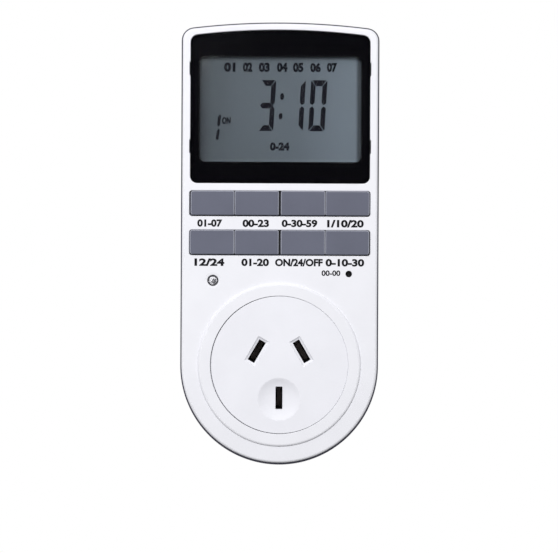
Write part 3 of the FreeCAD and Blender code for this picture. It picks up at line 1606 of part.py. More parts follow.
def mains_leads():
    """Three insulated leads: from the live pins to the power board and back out."""
    leads = []
    terminal_up = mm.power_bottom + mm.terminal_rise
    for blade in ("active", "neutral"):
        foot = beside_blade(blade, -mm.lead_shift * strap_side(blade)) + (PIN_FRONT,)
        side = 1 if blade == "neutral" else -1
        tip = ((POWER_SCREW_ACROSS - mm.terminal_inset) * side, terminal_up, POWER_FRONT)
        leads.append(lead(blade + "_lead", foot, tip, 1))
    foot = beside_blade("active", tail_shift("active")) + (TAIL_BACK,)
    tip = (mm.switched_terminal_x, terminal_up, POWER_FRONT)
    leads.append(lead("switched_lead", foot, tip, -1))
    group = document.addObject("Part::Compound", "mains_leads")
    group.Label = "mains_leads"
    group.Links = leads
    document.recompute()
    return group


def beside_blade(blade, shift):
    """The across and up place at a shift across a blade's thickness."""
    across, up, lean = BLADES[blade]
    return (across + cosine(lean) * shift, up - sine(lean) * shift)


def ribbon_cable():
    """The flat cable between the two boards, bent in an S."""
    body = new_body("ribbon_cable")
    half = mm.ribbon_thickness / 2
    shift = mm.ribbon_shift
    low = POWER_FRONT
    high = CONTROL_BACK
    mid_low = low + mm.ribbon_bend
    mid_high = high - mm.ribbon_bend
    outline = polygon(
        (-low, shift - half),
        (-mid_low, shift - half),
        (-mid_high, -half),
        (-high, -half),
        (-high, half),
        (-mid_high, half),
        (-mid_low, shift + half),
        (-low, shift + half),
    )
    wide = mm.ribbon_width / 2
    pad(body, "Ribbon", -wide, wide, outline, plane="YZ_Plane")
    place(body, mm.ribbon_x, CONTROL_BOTTOM + mm.ribbon_rise)
    return body


def screws_from_front(body, name, seat, length, places):
    """Small screws with their heads in front of a seat, pointing backward."""
    shanks = [octagon(x, z, mm.small_shank) for x, z in places]
    pad(body, name + "Shanks", seat - length, seat, *shanks)
    heads = [octagon(x, z, mm.small_head) for x, z in places]
    pad(body, name + "Heads", seat, seat + mm.small_head_height, *heads)


def screws_from_back(body, name, seat, length, places):
    """Small screws with their heads behind a seat, pointing forward."""
    shanks = [octagon(x, z, mm.small_shank) for x, z in places]
    pad(body, name + "Shanks", seat, seat + length, *shanks)
    heads = [octagon(x, z, mm.small_head) for x, z in places]
    pad(body, name + "Heads", seat - mm.small_head_height, seat, *heads)


def small_screws():
    """The screws of both boards, the contact carrier and the pin holder."""
    body = new_body("small_screws")
    board = mm.board_thickness + mm.small_bite
    screws_from_back(body, "Control", CONTROL_BACK, board, LOW_POSTS + HIGH_POSTS)
    screws_from_front(body, "Power", POWER_FRONT, mm.small_bite, POWER_SCREWS)
    screws_from_back(body, "Carrier", CARRIER_BACK, mm.carrier_thickness + mm.small_bite, INSERT_SCREWS)
    screws_from_front(body, "Holder", HOLDER_FRONT, holder_screw_length(), INSERT_SCREWS)
    return body


def casing_screws():
    """The four long screws that hold the casing together."""
    body = new_body("casing_screws")
    seat = mm.casing_head_at
    shanks = [octagon(x, z, mm.casing_shank) for x, z in CASING_SCREWS]
    pad(body, "Shanks", seat, mm.split_depth + mm.casing_bite, *shanks)
    heads = [octagon(x, z, mm.casing_head) for x, z in CASING_SCREWS]
    pad(body, "Heads", seat - mm.casing_head_height, seat, *heads)
    return body


# Assembly

def build_all():
    nodes = [front_casing(), rear_casing(), display_window(), display_surround()]
    nodes += [lcd_panel(), lcd_holder(), contact_strip()]
    for name, (across, up) in KEYS.items():
        nodes.append(key(name))
        nodes.append(switch_button(name, across, up))
    nodes.append(switch_button("reset", *RESET))
    nodes += [switch_bases(), switch_covers(), control_board(), controller_chip()]
    nodes += [clock_crystal(), backup_battery(), pilot_lamp()]
    nodes += [socket_insert(), contact_carrier()]
    nodes += [socket_contact(blade) for blade in BLADES]
    nodes += [strap("neutral"), strap("earth")]
    nodes += [plug_pin(blade) for blade in BLADES]
    nodes += [pin_sleeves(), pin_holder(), power_board(), dropper_capacitor()]
    nodes += [smoothing_capacitors(), varistor(), diodes(), resistor()]
    nodes += [relay_base(), relay_cover(), relay_yoke(), relay_coil()]
    nodes += [relay_armature(), relay_contact_arm(), relay_fixed_contact()]
    nodes += [mains_leads(), ribbon_cable(), small_screws(), casing_screws()]
    document.recompute()
    return nodes


def check(nodes):
    """Stops before anything is written if an object or a shape is faulty."""
    for item in document.Objects:
        if "Invalid" in item.State or "Error" in item.State:
            raise ValueError("%s failed: %s" % (item.Label, item.State))
    for node in nodes:
        shape = node.Shape
        if shape.isNull() or not shape.isValid() or not shape.Solids:
            raise ValueError("%s has a faulty shape" % node.Label)


def write(nodes):
    os.makedirs("parts", exist_ok=True)
    for node in nodes:
        node.Shape.exportStep("parts/%s.step" % node.Label)
    print("wrote %d sub-parts" % len(nodes))


parts = build_all()
check(parts)
write(parts)
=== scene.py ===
"""A plug-in socket timer: white casing, display, eight keys, three-slot outlet and plug pins."""

import math

import bmesh
import bpy
from bpy.props import FloatProperty, FloatVectorProperty, StringProperty
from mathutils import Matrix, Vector
from mathutils.geometry import delaunay_2d_cdt


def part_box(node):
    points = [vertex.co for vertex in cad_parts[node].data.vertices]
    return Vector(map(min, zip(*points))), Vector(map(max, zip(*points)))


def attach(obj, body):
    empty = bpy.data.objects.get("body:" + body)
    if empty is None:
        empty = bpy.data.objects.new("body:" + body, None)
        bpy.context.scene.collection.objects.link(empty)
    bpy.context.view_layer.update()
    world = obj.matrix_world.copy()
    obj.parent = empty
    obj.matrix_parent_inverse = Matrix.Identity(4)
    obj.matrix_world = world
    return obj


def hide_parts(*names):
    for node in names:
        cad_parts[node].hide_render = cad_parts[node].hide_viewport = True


bl_info = {
    "name": "Plug-in Timer",
    "version": (1, 0, 0),
    "blender": (4, 5, 0),
    "location": "View3D > Sidebar > Plug-in Timer",
    "description": "Builds the visible pieces of a plug-in socket timer round its measured frame",
    "category": "Add Mesh",
}

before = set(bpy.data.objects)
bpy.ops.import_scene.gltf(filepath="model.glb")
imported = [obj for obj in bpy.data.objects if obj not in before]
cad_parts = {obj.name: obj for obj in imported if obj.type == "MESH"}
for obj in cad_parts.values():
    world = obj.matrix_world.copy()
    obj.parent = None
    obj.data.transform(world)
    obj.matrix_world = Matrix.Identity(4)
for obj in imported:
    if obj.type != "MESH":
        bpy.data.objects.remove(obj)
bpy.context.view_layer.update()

# Millimetres: x goes across, z goes up, and "forward" is measured from the plug face


def node_box(node):
    """Left, back and bottom, then right, front and top of a frame node, in millimetres."""
    low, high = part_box(node)
    return (
        Vector((low.x, -high.y, low.z)) * 1000,
        Vector((high.x, -low.y, high.z)) * 1000,
    )


def mm(metres):
    return metres * 1000


CASING_LOW, CASING_HIGH = node_box("front_casing")
HALF = CASING_HIGH.x
CROWN_TOP = CASING_HIGH.z
BASE_UP = CASING_LOW.z + HALF
CROWN_RADIUS = 222.0
CROWN_CORNER = 4.0
SPLIT = CASING_LOW.y
BACK = 1.5
FACE = 38.0
WALL = 2.0
PANEL_BACK = FACE - WALL
REAR_FLOOR = BACK + WALL
BROW_DEPTH = 0.35
FOOT_LIFT = 0.6

PANE_LOW, PANE_HIGH = node_box("display_window")
PANE_GAP = 0.1
WINDOW_WIDER = 0.2
WINDOW_RAISED = 0.15
WINDOW_HALF = PANE_HIGH.x + PANE_GAP + WINDOW_WIDER
WINDOW_TOP = PANE_HIGH.z + PANE_GAP
WINDOW_LOW = PANE_LOW.z - PANE_GAP + WINDOW_RAISED
WINDOW_RADIUS = 212.0
WINDOW_TOP_CORNER = 2.4
WINDOW_LOW_CORNER = 2.2
TAB_LEVELS = (66.6, 90.4)
TAB_HALF = 1.95
TAB_REACH = 0.26

GLASS_FRONT = node_box("lcd_panel")[1].y
VIEW = (-24.75, 24.75, 62.05, 94.4)
VIEW_CORNER = 1.9
SURROUND_THICK = 1.4
INK_BACK = GLASS_FRONT + 0.005
INK_FRONT = INK_BACK + 0.03
FIGURE_LEAN = 0.057

OPENING_HALF = 27.7
OPENING_BELOW = 3.7
OPENING_ABOVE = 4.12
OPENING_CORNER = 0.8
KEY_NAMES = ("week", "hour", "minute", "recall", "clock", "timer", "mode", "random")
OUTER_KEYS = ("week", "clock", "recall", "random")
KEY_ROWS = (48.95, 36.95)
PAIR_GAP = 0.12
CAP_BELOW = 3.36
CAP_ABOVE = 4.06
CAP_WALL = 1.1
CAP_CORNER = 0.42
CAP_TRIMS = {
    "week": (0.28, 0), "hour": (0, 0.1), "minute": (0.1, 0), "recall": (0, 0.1),
    "clock": (0.02, 0), "timer": (0, 0.12), "mode": (0.1, 0), "random": (0, 0.15),
}
PAIR_MEETS = (node_box("minute_key")[1].x + node_box("recall_key")[0].x) / 2
STEM_HALF = 1.2

LAMP = (-20.4, 25.55)
LAMP_HOLE = 1.7
RESET = (21.2, 27.7)
SCREW_PLACES = ((-24.4, 15.5), (24.4, 15.5), (-17.96, -17.96), (17.96, -17.96))
SCREW_SEAT = 9.0
INSERT_SCREWS = ((-12.6, -8.6), (12.6, -8.6))
CATCH_PLACES = (-14, 14)
CATCH_HALF = 4
CATCH_UP = 100.8
CATCH_END = 19.0

RING_RADIUS = 24.9
RING_FRONT = CASING_HIGH.y
RING_UP = -0.2
RING_FOOT = 0.2
SOCKET_HOLE = 21.12
DISC_RADIUS = 20.98
DISC_PLACE = (0.12, RING_UP + 0.02)
DISC_FRONT = node_box("socket_insert")[1].y
FLANGE_RADIUS = 22.3
FLANGE_BACK = PANEL_BACK - 1.5
SLOT_MOUTH = ((0.0, 0.0), (0.05, 0.03), (0.33, 0.4), (0.58, 0.55), (0.8, 0.65), (0.85, 1.0))
BLADES = {
    "active": (-6.859, 3.96, 30.0),
    "neutral": (6.859, 3.96, -30.0),
    "earth": (0.0, -10.31, 0.0),
}
BLADE_WIDE = 6.35
BLADE_THICK = 1.6
SLEEVE_LENGTH = 9.0

# Length, width and corner of what stands at a pin's place
PIN_HOLE = (6.45, 1.7, 0.2)
MOUTH = (8.8, 3.9, 0.1)
THROAT = (7.1, 2.2, 0.1)
TOWER = (11.8, 7.6, 0.5)
CHAMBER = (9.6, 5.4, 0.5)


# Outlines: lists of (across, up) points, anticlockwise from the front

def arc(across, up, radius, first, last, count):
    """Points of an arc between two angles in degrees, both ends included."""
    points = []
    for step in range(count + 1):
        angle = math.radians(first + (last - first) * step / count)
        points.append((across + radius * math.cos(angle), up + radius * math.sin(angle)))
    return points


def circle(across, up, radius, count):
    return arc(across, up, radius, 0, 360, count)[:-1]


def crown(half, top, radius, corner):
    """Right corner, arched top and left corner of the casing or its window."""
    middle = top - radius
    shoulder = middle + math.sqrt((radius - corner) ** 2 - (half - corner) ** 2)
    lean = math.degrees(math.atan2(shoulder - middle, half - corner))
    right = arc(half - corner, shoulder, corner, 0, lean, 8)
    top_arc = arc(0, middle, radius, lean, 180 - lean, 36)
    left = arc(corner - half, shoulder, corner, 180 - lean, 180, 8)
    return right + top_arc[1:-1] + left


def casing_loop(inset, lift=0.0):
    """The casing's outline, moved inward by an inset, its round foot lifted if asked."""
    half = HALF - inset
    base = arc(0, BASE_UP + lift, half, 180, 360, 96)
    return base + crown(half, CROWN_TOP - inset, CROWN_RADIUS - inset, CROWN_CORNER - inset)


def window_loop(inset, levels=()):
    """The display window's outline, with notches in both sides at the levels given."""
    half = WINDOW_HALF - inset
    low = WINDOW_LOW + inset
    foot = WINDOW_LOW_CORNER - inset
    notches = []
    for level in levels:
        below = level - TAB_HALF - PANE_GAP + inset
        above = level + TAB_HALF + PANE_GAP - inset
        side = half + TAB_REACH
        notches += [(half, below), (side, below), (side, above), (half, above)]
    right = arc(half - foot, low + foot, foot, 270, 360, 8) + notches
    top = crown(half, WINDOW_TOP - inset, WINDOW_RADIUS - inset, WINDOW_TOP_CORNER - inset)
    left = [(-x, z) for x, z in reversed(notches)]
    return right + top + left + arc(foot - half, low + foot, foot, 180, 270, 8)


def notched_loop(inset):
    return window_loop(inset, TAB_LEVELS)


def box_loop(left, right, low, high, corner, left_corner=None, steps=5):
    """A rectangle with round corners; the left pair may have a radius of its own."""
    left_corner = corner if left_corner is None else left_corner
    points = arc(right - corner, low + corner, corner, 270, 360, steps)
    points += arc(right - corner, high - corner, corner, 0, 90, steps)
    points += arc(left + left_corner, high - left_corner, left_corner, 90, 180, steps)
    return points + arc(left + left_corner, low + left_corner, left_corner, 180, 270, steps)


def square_loop(across, up, half, corner):
    return box_loop(across - half, across + half, up - half, up + half, corner)


def blade_loop(blade, length, width, corner, runs=1):
    """A rectangle at a pin's place that leans as the pin does, its sides cut into runs."""
    across, up, lean = BLADES[blade]
    turn = math.radians(lean)
    flat = box_loop(-width / 2, width / 2, -length / 2, length / 2, corner, steps=3)
    points = []
    for (a, b), (c, d) in zip(flat, flat[1:] + flat[:1]):
        pieces = runs if math.hypot(c - a, d - b) > 1.0 else 1
        for piece in range(pieces):
            x = a + (c - a) * piece / pieces
            z = b + (d - b) * piece / pieces
            points.append((
                across + x * math.cos(turn) + z * math.sin(turn),
                up - x * math.sin(turn) + z * math.cos(turn),
            ))
    return points


def shrinking_box(left, right, low, high, corner, steps=5):
    """Gives a rectangle for each inset."""
    return lambda inset: box_loop(left + inset, right - inset, low + inset, high - inset,
                                  corner - inset, steps=steps)


def shrinking_blade(blade, length, width, corner):
    """Gives a rectangle at a pin's place for each inset."""
    return lambda inset: blade_loop(blade, length - 2 * inset, width - 2 * inset, corner)


def rounding(inset, level, radius, steps, side=1, facing=1):
    """Profile points from a wall at an inset round an edge into a face at a level."""
    points = []
    for step in range(steps + 1):
        angle = math.pi / 2 * step / steps
        points.append((
            inset + side * radius * (1 - math.cos(angle)),
            level - facing * radius * (1 - math.sin(angle)),
        ))
    return points


def inside(point, loop):
    """True for a point inside a closed outline."""
    x, z = point
    hit = False
    for (ax, az), (bx, bz) in zip(loop, loop[1:] + loop[:1]):
        if (az > z) != (bz > z) and x < (bx - ax) * (z - az) / (bz - az) + ax:
            hit = not hit
    return hit


class Form:
    """A mesh being drawn in millimetres as rings of points joined by faces."""
    merge_distance = 1e-5
    sharp_angle = math.radians(32)

    def __init__(self):
        self.mesh = bmesh.new()
        self.finish_index = 0

    def ring(self, loop, forward):
        """Points of an outline at one level, or at the levels that a function gives."""
        level = forward if callable(forward) else lambda across, up: forward
        return [self.mesh.verts.new((x, -level(x, z), z)) for x, z in loop]

    def face(self, corners):
        self.mesh.faces.new(corners).material_index = self.finish_index

    def bridge(self, first, second):
        """Joins two rings of the same count by a band of faces."""
        for corners in zip(first, first[1:] + first[:1], second[1:] + second[:1], second):
            self.face(corners)

    def join(self, rings):
        """Bridges each ring to the next."""
        for first, second in zip(rings, rings[1:]):
            self.bridge(first, second)
        return rings

    def close(self, rings):
        """Closes both ends of a run of rings."""
        self.face(rings[0])
        self.face(rings[-1])

    def tube(self, loop, *levels):
        """Runs one outline straight through some levels and returns its rings."""
        return self.join([self.ring(loop, level) for level in levels])

    def sweep(self, loop, profile):
        """Runs an outline along (inset, forward) pairs and returns its rings."""
        return self.join([self.ring(loop(inset), forward) for inset, forward in profile])

    def lathe(self, across, up, profile, count):
        """Turns (radius, forward) pairs round an axis that goes forward."""
        return self.sweep(lambda radius: circle(across, up, radius, count), profile)

    def prism(self, loop, back, front):
        """A flat piece of one outline between two levels."""
        self.close(self.tube(loop, back, front))

    def box(self, left, right, low, high, back, front, edge=0.1):
        """A block with slightly rounded edges."""
        loop = shrinking_box(left, right, low, high, edge * 1.5, steps=2)
        profile = [(edge, back), (0, back + edge), (0, front - edge), (edge, front)]
        self.close(self.sweep(loop, profile))

    def fill(self, rings, points=(), level=None):
        """Fills between an outer ring and its holes, over extra points at their own levels."""
        corners = [corner for ring in rings for corner in ring] + self.ring(points, level)
        loops = [[(corner.co.x, corner.co.z) for corner in ring] for ring in rings]
        edges = []
        for loop in loops:
            first, count = len(edges), len(loop)
            edges += [(first + index, first + (index + 1) % count) for index in range(count)]
        flat = [Vector(point) for loop in (*loops, points) for point in loop]
        places, _, triangles, sources = delaunay_2d_cdt(flat, edges, [], 0, 1e-6)[:4]
        for triangle in triangles:
            middle = [sum(places[index][axis] for index in triangle) / 3 for axis in (0, 1)]
            if sum(inside(middle, loop) for loop in loops) == 1:
                self.face([corners[sources[index][0]] for index in triangle])

    def add_text(self, text, box, levels, bold, lean=0.0):
        """Adds printed characters that fill a box of (left, right, low, high)."""
        left, right, low, high = box
        curve = bpy.data.curves.new("characters", "FONT")
        curve.body = text
        curve.offset = bold
        curve.resolution_u = 4
        curve.extrude = 0.01
        holder = bpy.data.objects.new("characters", curve)
        bpy.context.collection.objects.link(holder)
        bpy.context.view_layer.update()
        drawn = holder.evaluated_get(bpy.context.evaluated_depsgraph_get())
        flat = bpy.data.meshes.new_from_object(drawn)
        xs = [vertex.co.x for vertex in flat.vertices]
        ys = [vertex.co.y for vertex in flat.vertices]
        wide = (right - left) / (max(xs) - min(xs))
        tall = (high - low) / (max(ys) - min(ys))
        corners = []
        for vertex in flat.vertices:
            up = low + (vertex.co.y - min(ys)) * tall
            across = left + (vertex.co.x - min(xs)) * wide + (up - low) * lean
            corners += self.ring([(across, up)], levels[vertex.co.z > 0])
        for polygon in flat.polygons:
            self.face([corners[index] for index in polygon.vertices])
        bpy.data.objects.remove(holder)
        bpy.data.curves.remove(curve)
        bpy.data.meshes.remove(flat)

    def build(self, name, slot, *finishes, body="housing", nodes=()):
        """Makes the object, smooth but for its sharp edges, and puts it on its body."""
        mesh = self.mesh
        bmesh.ops.remove_doubles(mesh, verts=mesh.verts, dist=self.merge_distance)
        bmesh.ops.recalc_face_normals(mesh, faces=mesh.faces)
        for face in mesh.faces:
            face.smooth = True
        for edge in mesh.edges:
            edge.smooth = len(edge.link_faces) == 2 and edge.calc_face_angle(0) < self.sharp_angle
        bmesh.ops.scale(mesh, vec=(0.001, 0.001, 0.001), verts=mesh.verts)
        data = bpy.data.meshes.new(name)
        mesh.to_mesh(data)
        mesh.free()
        for finish in finishes:
            data.materials.append(finish)
        piece = bpy.data.objects.new(name, data)
        bpy.context.collection.objects.link(piece)
        weighted = piece.modifiers.new("Even shading", "WEIGHTED_NORMAL")
        weighted.keep_sharp = True
        weighted.weight = 80
        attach(piece, body)
        if nodes:
            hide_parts(*nodes)
        return piece


# Finishes

class Tree:
    """A node tree being drawn."""

    def __init__(self, tree):
        self.nodes = tree.nodes
        self.links = tree.links

    def put(self, socket, value):
        """Links a socket to another one, or gives it a plain value."""
        if isinstance(value, bpy.types.NodeSocket):
            self.links.new(value, socket)
        else:
            socket.default_value = value

    def node(self, kind, settings=(), numbered=(), **named):
        """Adds a node; its inputs are given by number or by name, with _ for a space."""
        node = self.nodes.new(kind)
        for key, value in dict(settings).items():
            setattr(node, key, value)
        for key, value in dict(numbered).items():
            self.put(node.inputs[key], value)
        for key, value in named.items():
            self.put(node.inputs[key.replace("_", " ")], value)
        return node


class Finish(Tree):
    """A node material whose textures are measured in the object's own metres."""

    def __init__(self, name, **sockets):
        self.material = bpy.data.materials.new(name)
        self.material.use_nodes = True
        super().__init__(self.material.node_tree)
        self.shader = self.nodes["Principled BSDF"]
        for socket, value in sockets.items():
            self.put(self.shader.inputs[socket.replace("_", " ")], value)
        self.place = self.node("ShaderNodeTexCoord").outputs["Object"]

    def stretched(self, scale):
        """The place, stretched by a factor along each axis."""
        return self.node("ShaderNodeMapping", Vector=self.place, Scale=scale).outputs["Vector"]

    def noise(self, scale, detail=3.0, place=None):
        place = place or self.place
        node = self.node("ShaderNodeTexNoise", Vector=place, Scale=scale, Detail=detail)
        return node.outputs["Fac"]

    def span(self, value, **ends):
        """Maps a value from one span to another."""
        return self.node("ShaderNodeMapRange", Value=value, **ends).outputs["Result"]

    def ramp(self, value, *stops):
        """Maps a value to colours: each stop is (position, colour)."""
        node = self.node("ShaderNodeValToRGB", Fac=value)
        elements = node.color_ramp.elements
        while len(elements) < len(stops):
            elements.new(0.5)
        for element, (position, colour) in zip(elements, stops):
            element.position = position
            element.color = (*colour, 1.0)
        return node.outputs["Color"]

    def blend(self, first, second, factor=1.0, kind="MIX"):
        """Blends two colours."""
        settings = {"data_type": "RGBA", "blend_type": kind}
        return self.node("ShaderNodeMix", settings, {0: factor, 6: first, 7: second}).outputs[2]

    def colour(self, value):
        self.put(self.shader.inputs["Base Color"], value)

    def roughness(self, value, low, high):
        self.put(self.shader.inputs["Roughness"], self.span(value, To_Min=low, To_Max=high))

    def relief(self, height, depth):
        """Bumps of a depth in metres."""
        bump = self.node("ShaderNodeBump", Height=height, Distance=depth)
        self.put(self.shader.inputs["Normal"], bump.outputs["Normal"])


def shade(colour, factor):
    return tuple(min(1.0, channel * factor) for channel in colour)


def grey(level):
    return (level, level, level)


FINISHES = {}


def once(make):
    """Has each finish made only the first time that its name is asked for."""
    def finish(name, *values, **settings):
        if name not in FINISHES:
            FINISHES[name] = make(name, *values, **settings).material
        return FINISHES[name]
    return finish


@once
def moulded(name, colour, rough=0.42, grain=4500.0, depth=0.000004, mottle=0.02, **sockets):
    """Moulded plastic: faint cloudiness, a fine eroded grain and uneven gloss."""
    finish = Finish(name, **sockets)
    pale, deep = shade(colour, 1 + mottle), shade(colour, 1 - mottle)
    finish.colour(finish.ramp(finish.noise(90.0, 4.0), (0.3, deep), (0.7, pale)))
    finish.roughness(finish.noise(600.0, 2.0), rough - 0.05, rough + 0.06)
    finish.relief(finish.noise(grain, 2.0), depth)
    return finish


def casing_finish(colour):
    """The casing's white: matt, with the fine spark grain of its mould."""
    return moulded("casing_white", colour, 0.5, grain=3800.0, Specular_IOR_Level=0.06)


@once
def metal(name, colour, rough=0.3, along=(60.0, 2500.0, 60.0), dulled=0.72):
    """Rolled or turned metal: drawn lines, dull patches and fine scratches."""
    finish = Finish(name, Metallic=1.0)
    lines = finish.noise(1.0, 3.0, finish.stretched(along))
    patches = finish.noise(500.0, 4.0)
    finish.colour(finish.ramp(patches, (0.35, shade(colour, dulled)), (0.65, colour)))
    finish.roughness(lines, rough - 0.08, rough + 0.14)
    finish.relief(lines, 0.000006)
    return finish


@once
def banded(name, light, dark, scale, axis, rough=0.4, metallic=0.0):
    """Rows side by side, such as a winding, a ribbon's cores or a striped strip."""
    finish = Finish(name, Metallic=metallic)
    bands = {"wave_type": "BANDS", "bands_direction": axis}
    rows = finish.node("ShaderNodeTexWave", bands, Vector=finish.place, Scale=scale,
                       Distortion=0.1).outputs["Fac"]
    finish.colour(finish.ramp(rows, (0.15, dark), (0.75, light)))
    finish.roughness(finish.noise(900.0), rough - 0.08, rough + 0.1)
    finish.relief(rows, 0.00003)
    return finish


@once
def circuit_board(name, colour):
    """Solder mask over copper tracks, with a faint glass weave."""
    finish = Finish(name, Coat_Weight=0.3)
    cells = finish.node("ShaderNodeTexVoronoi", {"distance": "MANHATTAN", "feature": "F1"},
                        Vector=finish.place, Scale=420.0)
    tracks = finish.ramp(cells.outputs["Distance"], (0.32, grey(0.0)), (0.38, grey(1.0)))
    finish.colour(finish.ramp(tracks, (0.0, shade(colour, 1.7)), (1.0, colour)))
    finish.roughness(finish.noise(1500.0), 0.25, 0.4)
    finish.relief(tracks, 0.00003)
    return finish


@once
def clear_plastic(name, colour, ior, rough=0.02):
    """Clear plastic with the faint ripple of a moulded pane."""
    finish = Finish(name, Transmission_Weight=1.0, IOR=ior)
    haze = finish.noise(40.0, 2.0)
    finish.colour(finish.ramp(haze, (0.3, shade(colour, 0.985)), (0.7, colour)))
    finish.roughness(haze, rough, rough + 0.02)
    finish.relief(finish.noise(25.0, 1.0), 0.000002)
    return finish


@once
def display_finish(name, colour):
    """The display's grey face, with random cloudiness, a fine grain, painted shade and light across
    its width and a painted highlight along its foot.
    """
    finish = Finish(name, Specular_IOR_Level=0.12)
    cloud = finish.noise(45.0, 3.0)
    grain = finish.noise(2600.0, 2.0, finish.stretched((1.0, 1.0, 0.5)))
    mottle = finish.node("ShaderNodeMath", {"operation": "MULTIPLY_ADD"},
                         {0: grain, 1: 0.35, 2: cloud})
    axes = finish.node("ShaderNodeSeparateXYZ", Vector=finish.place).outputs
    # Across its width the colour is painted: darker at the left as painted shade, lighter towards
    # the right as painted light, and darker again along the right border.
    side = finish.span(axes["X"], From_Min=-0.026, From_Max=0.026)
    bright = shade(colour, 1 / 0.8)
    painted_light_factors = ((0.05, 0.42), (0.1, 0.62), (0.22, 0.8), (0.6, 1.0), (0.946, 1.5), (0.962, 0.4))
    tint = finish.ramp(side, *((place, shade(bright, factor)) for place, factor in painted_light_factors))
    # Along the foot the colour is lighter, a painted highlight.
    foot_highlight_rise = finish.span(axes["Z"], From_Min=0.062, From_Max=0.072)
    foot = finish.ramp(foot_highlight_rise, (0.05, grey(1.0)), (0.09, grey(0.8)))
    uneven = finish.ramp(mottle.outputs[0], (0.35, grey(0.9)), (0.95, grey(1.0)))
    for layer in (foot, uneven):
        tint = finish.blend(tint, layer, kind="MULTIPLY")
    finish.colour(tint)
    finish.roughness(cloud, 0.3, 0.4)
    finish.relief(grain, 0.000002)
    return finish


@once
def floor_finish(name, colour):
    """Matt paper, pale to the camera and darker as a source of bounced light."""
    finish = Finish(name, Roughness=0.9, Specular_IOR_Level=0.0)
    fibres = finish.ramp(finish.noise(700.0, 4.0), (0.3, shade(colour, 0.98)), (0.7, colour))
    seen = finish.node("ShaderNodeLightPath").outputs["Is Camera Ray"]
    finish.colour(finish.blend((*grey(0.18), 1.0), fibres, seen))
    return finish


def dress(finish, edge, *nodes):
    """Gives frame nodes a finish and, with an edge in millimetres, rounded edges."""
    for name in nodes:
        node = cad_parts[name]
        for slot in node.material_slots:
            slot.material = finish
        if edge:
            weld = node.modifiers.new("Joined faces", "WELD")
            weld.merge_threshold = 0.000002
            soft = node.modifiers.new("Soft edges", "BEVEL")
            soft.width = edge / 1000
            soft.segments = 2
            soft.limit_method = "ANGLE"
            soft.angle_limit = math.radians(50)
            soft.harden_normals = False


# Settings

def colour_setting(name, description, default):
    return FloatVectorProperty(name=name, description=description, default=default, size=3,
                               min=0.0, max=1.0, subtype="COLOR")


def length_setting(name, description, default, low=0.0, high=0.1):
    return FloatProperty(name=name, description=description, default=default, min=low, max=high,
                         precision=5, unit="LENGTH", subtype="DISTANCE")


def power_setting(name, description, default):
    return FloatProperty(name=name, description=description, default=default, min=0.0, unit="POWER")


class PLUGTIMER_PG_casing(bpy.types.PropertyGroup):
    """Sizes and colours of the casing."""
    colour: colour_setting("Casing colour", "Colour of the moulded casing", (0.85, 0.852, 0.9))
    edge: length_setting("Face edge", "Radius of the edge round the face", 0.0008)
    edge_lean: length_setting("Edge lean", "How far the side leans inward just below the face",
                              0.00036)
    # This colour is painted shade: the strip round the face's outline is coloured dark where the
    # side turns away from the light.
    painted_edge_light: colour_setting("Edge colour", "Colour of the handled edge round the face",
                                (0.075, 0.075, 0.1))
    back_edge: length_setting("Back edge", "Radius of the edge round the back", 0.0022)
    opening_edge: length_setting("Opening edge", "Radius round the window, keys and holes", 0.00025)
    ring_edge: length_setting("Ring edge", "Width of the slope round the socket's raised ring",
                              0.00075)
    seam: length_setting("Seam", "Radius of the edges where the halves of the casing meet", 0.00025)
    ink: colour_setting("Printing", "Colour of the characters printed by the keys",
                        (0.008, 0.008, 0.01))


class PLUGTIMER_PG_display(bpy.types.PropertyGroup):
    """Colours and readings of the display."""
    face: colour_setting("Display face", "Colour of the display where nothing shows",
                         (0.088, 0.108, 0.128))
    marks: colour_setting("Display marks", "Colour of the figures on the display",
                          (0.003, 0.003, 0.006))
    surround: colour_setting("Surround", "Colour of the glossy surround", (0.0016, 0.0015, 0.0024))
    hours: StringProperty(name="Hours", description="Hour figure on the display", default="3")
    minutes: StringProperty(name="Minutes", description="Minute figures on the display",
                            default="10")


class PLUGTIMER_PG_keys(bpy.types.PropertyGroup):
    """Sizes and colour of the keys."""
    colour: colour_setting("Key colour", "Colour of the eight keys", (0.121, 0.128, 0.172))
    # This colour is a painted highlight on the rounded edges of the keys.
    painted_edge_light: colour_setting("Key edge colour", "Colour of the polished edge of each key",
                                (0.31, 0.32, 0.38))
    edge: length_setting("Key edge", "Radius round the top of each key", 0.00024)


class PLUGTIMER_PG_socket(bpy.types.PropertyGroup):
    """Sizes and colours of the socket and the plug."""
    colour: colour_setting("Socket colour", "Colour of the round socket face", (0.845, 0.847, 0.9))
    # This colour is painted shade deep inside the slots and contact chambers.
    inside: colour_setting("Slot lining", "Colour inside the slots", (0.15, 0.145, 0.16))
    edge: length_setting("Disc edge", "Radius round the socket face", 0.00012)
    dish: length_setting("Dish depth", "Depth of the dish round the earth slot", 0.0013)
    pin: colour_setting("Pin colour", "Colour of the plug pins", (0.78, 0.62, 0.33))


class PLUGTIMER_PG_stage(bpy.types.PropertyGroup):
    """Light, floor and camera."""
    key_power: power_setting("Main light", "Power of the large light above and to the left", 5.0)
    back_power: power_setting("Back light", "Power of the large light behind", 4.0)
    side_power: power_setting("Side lights", "Power of the two lights beside and behind", 1.5)
    key_place: FloatVectorProperty(
        name="Main light place", description="Where the large light hangs",
        default=(-0.12, -0.74, 0.33), size=3, unit="LENGTH", subtype="TRANSLATION")
    surroundings: FloatProperty(
        name="Surroundings", description="Brightness of the surroundings as a light",
        default=0.42, min=0.0, max=1.0, subtype="FACTOR")
    floor: colour_setting("Floor", "Colour of the floor", (0.86, 0.86, 0.86))
    distance: length_setting("Camera distance", "From the camera to the plug face", 0.892, 0.1, 5.0)
    roll: FloatProperty(
        name="Camera roll", description="Turn of the camera about its line of sight",
        default=math.radians(-0.27), subtype="ANGLE", unit="ROTATION")


def settings(context, area):
    return getattr(context.scene, "plug_timer_" + area)


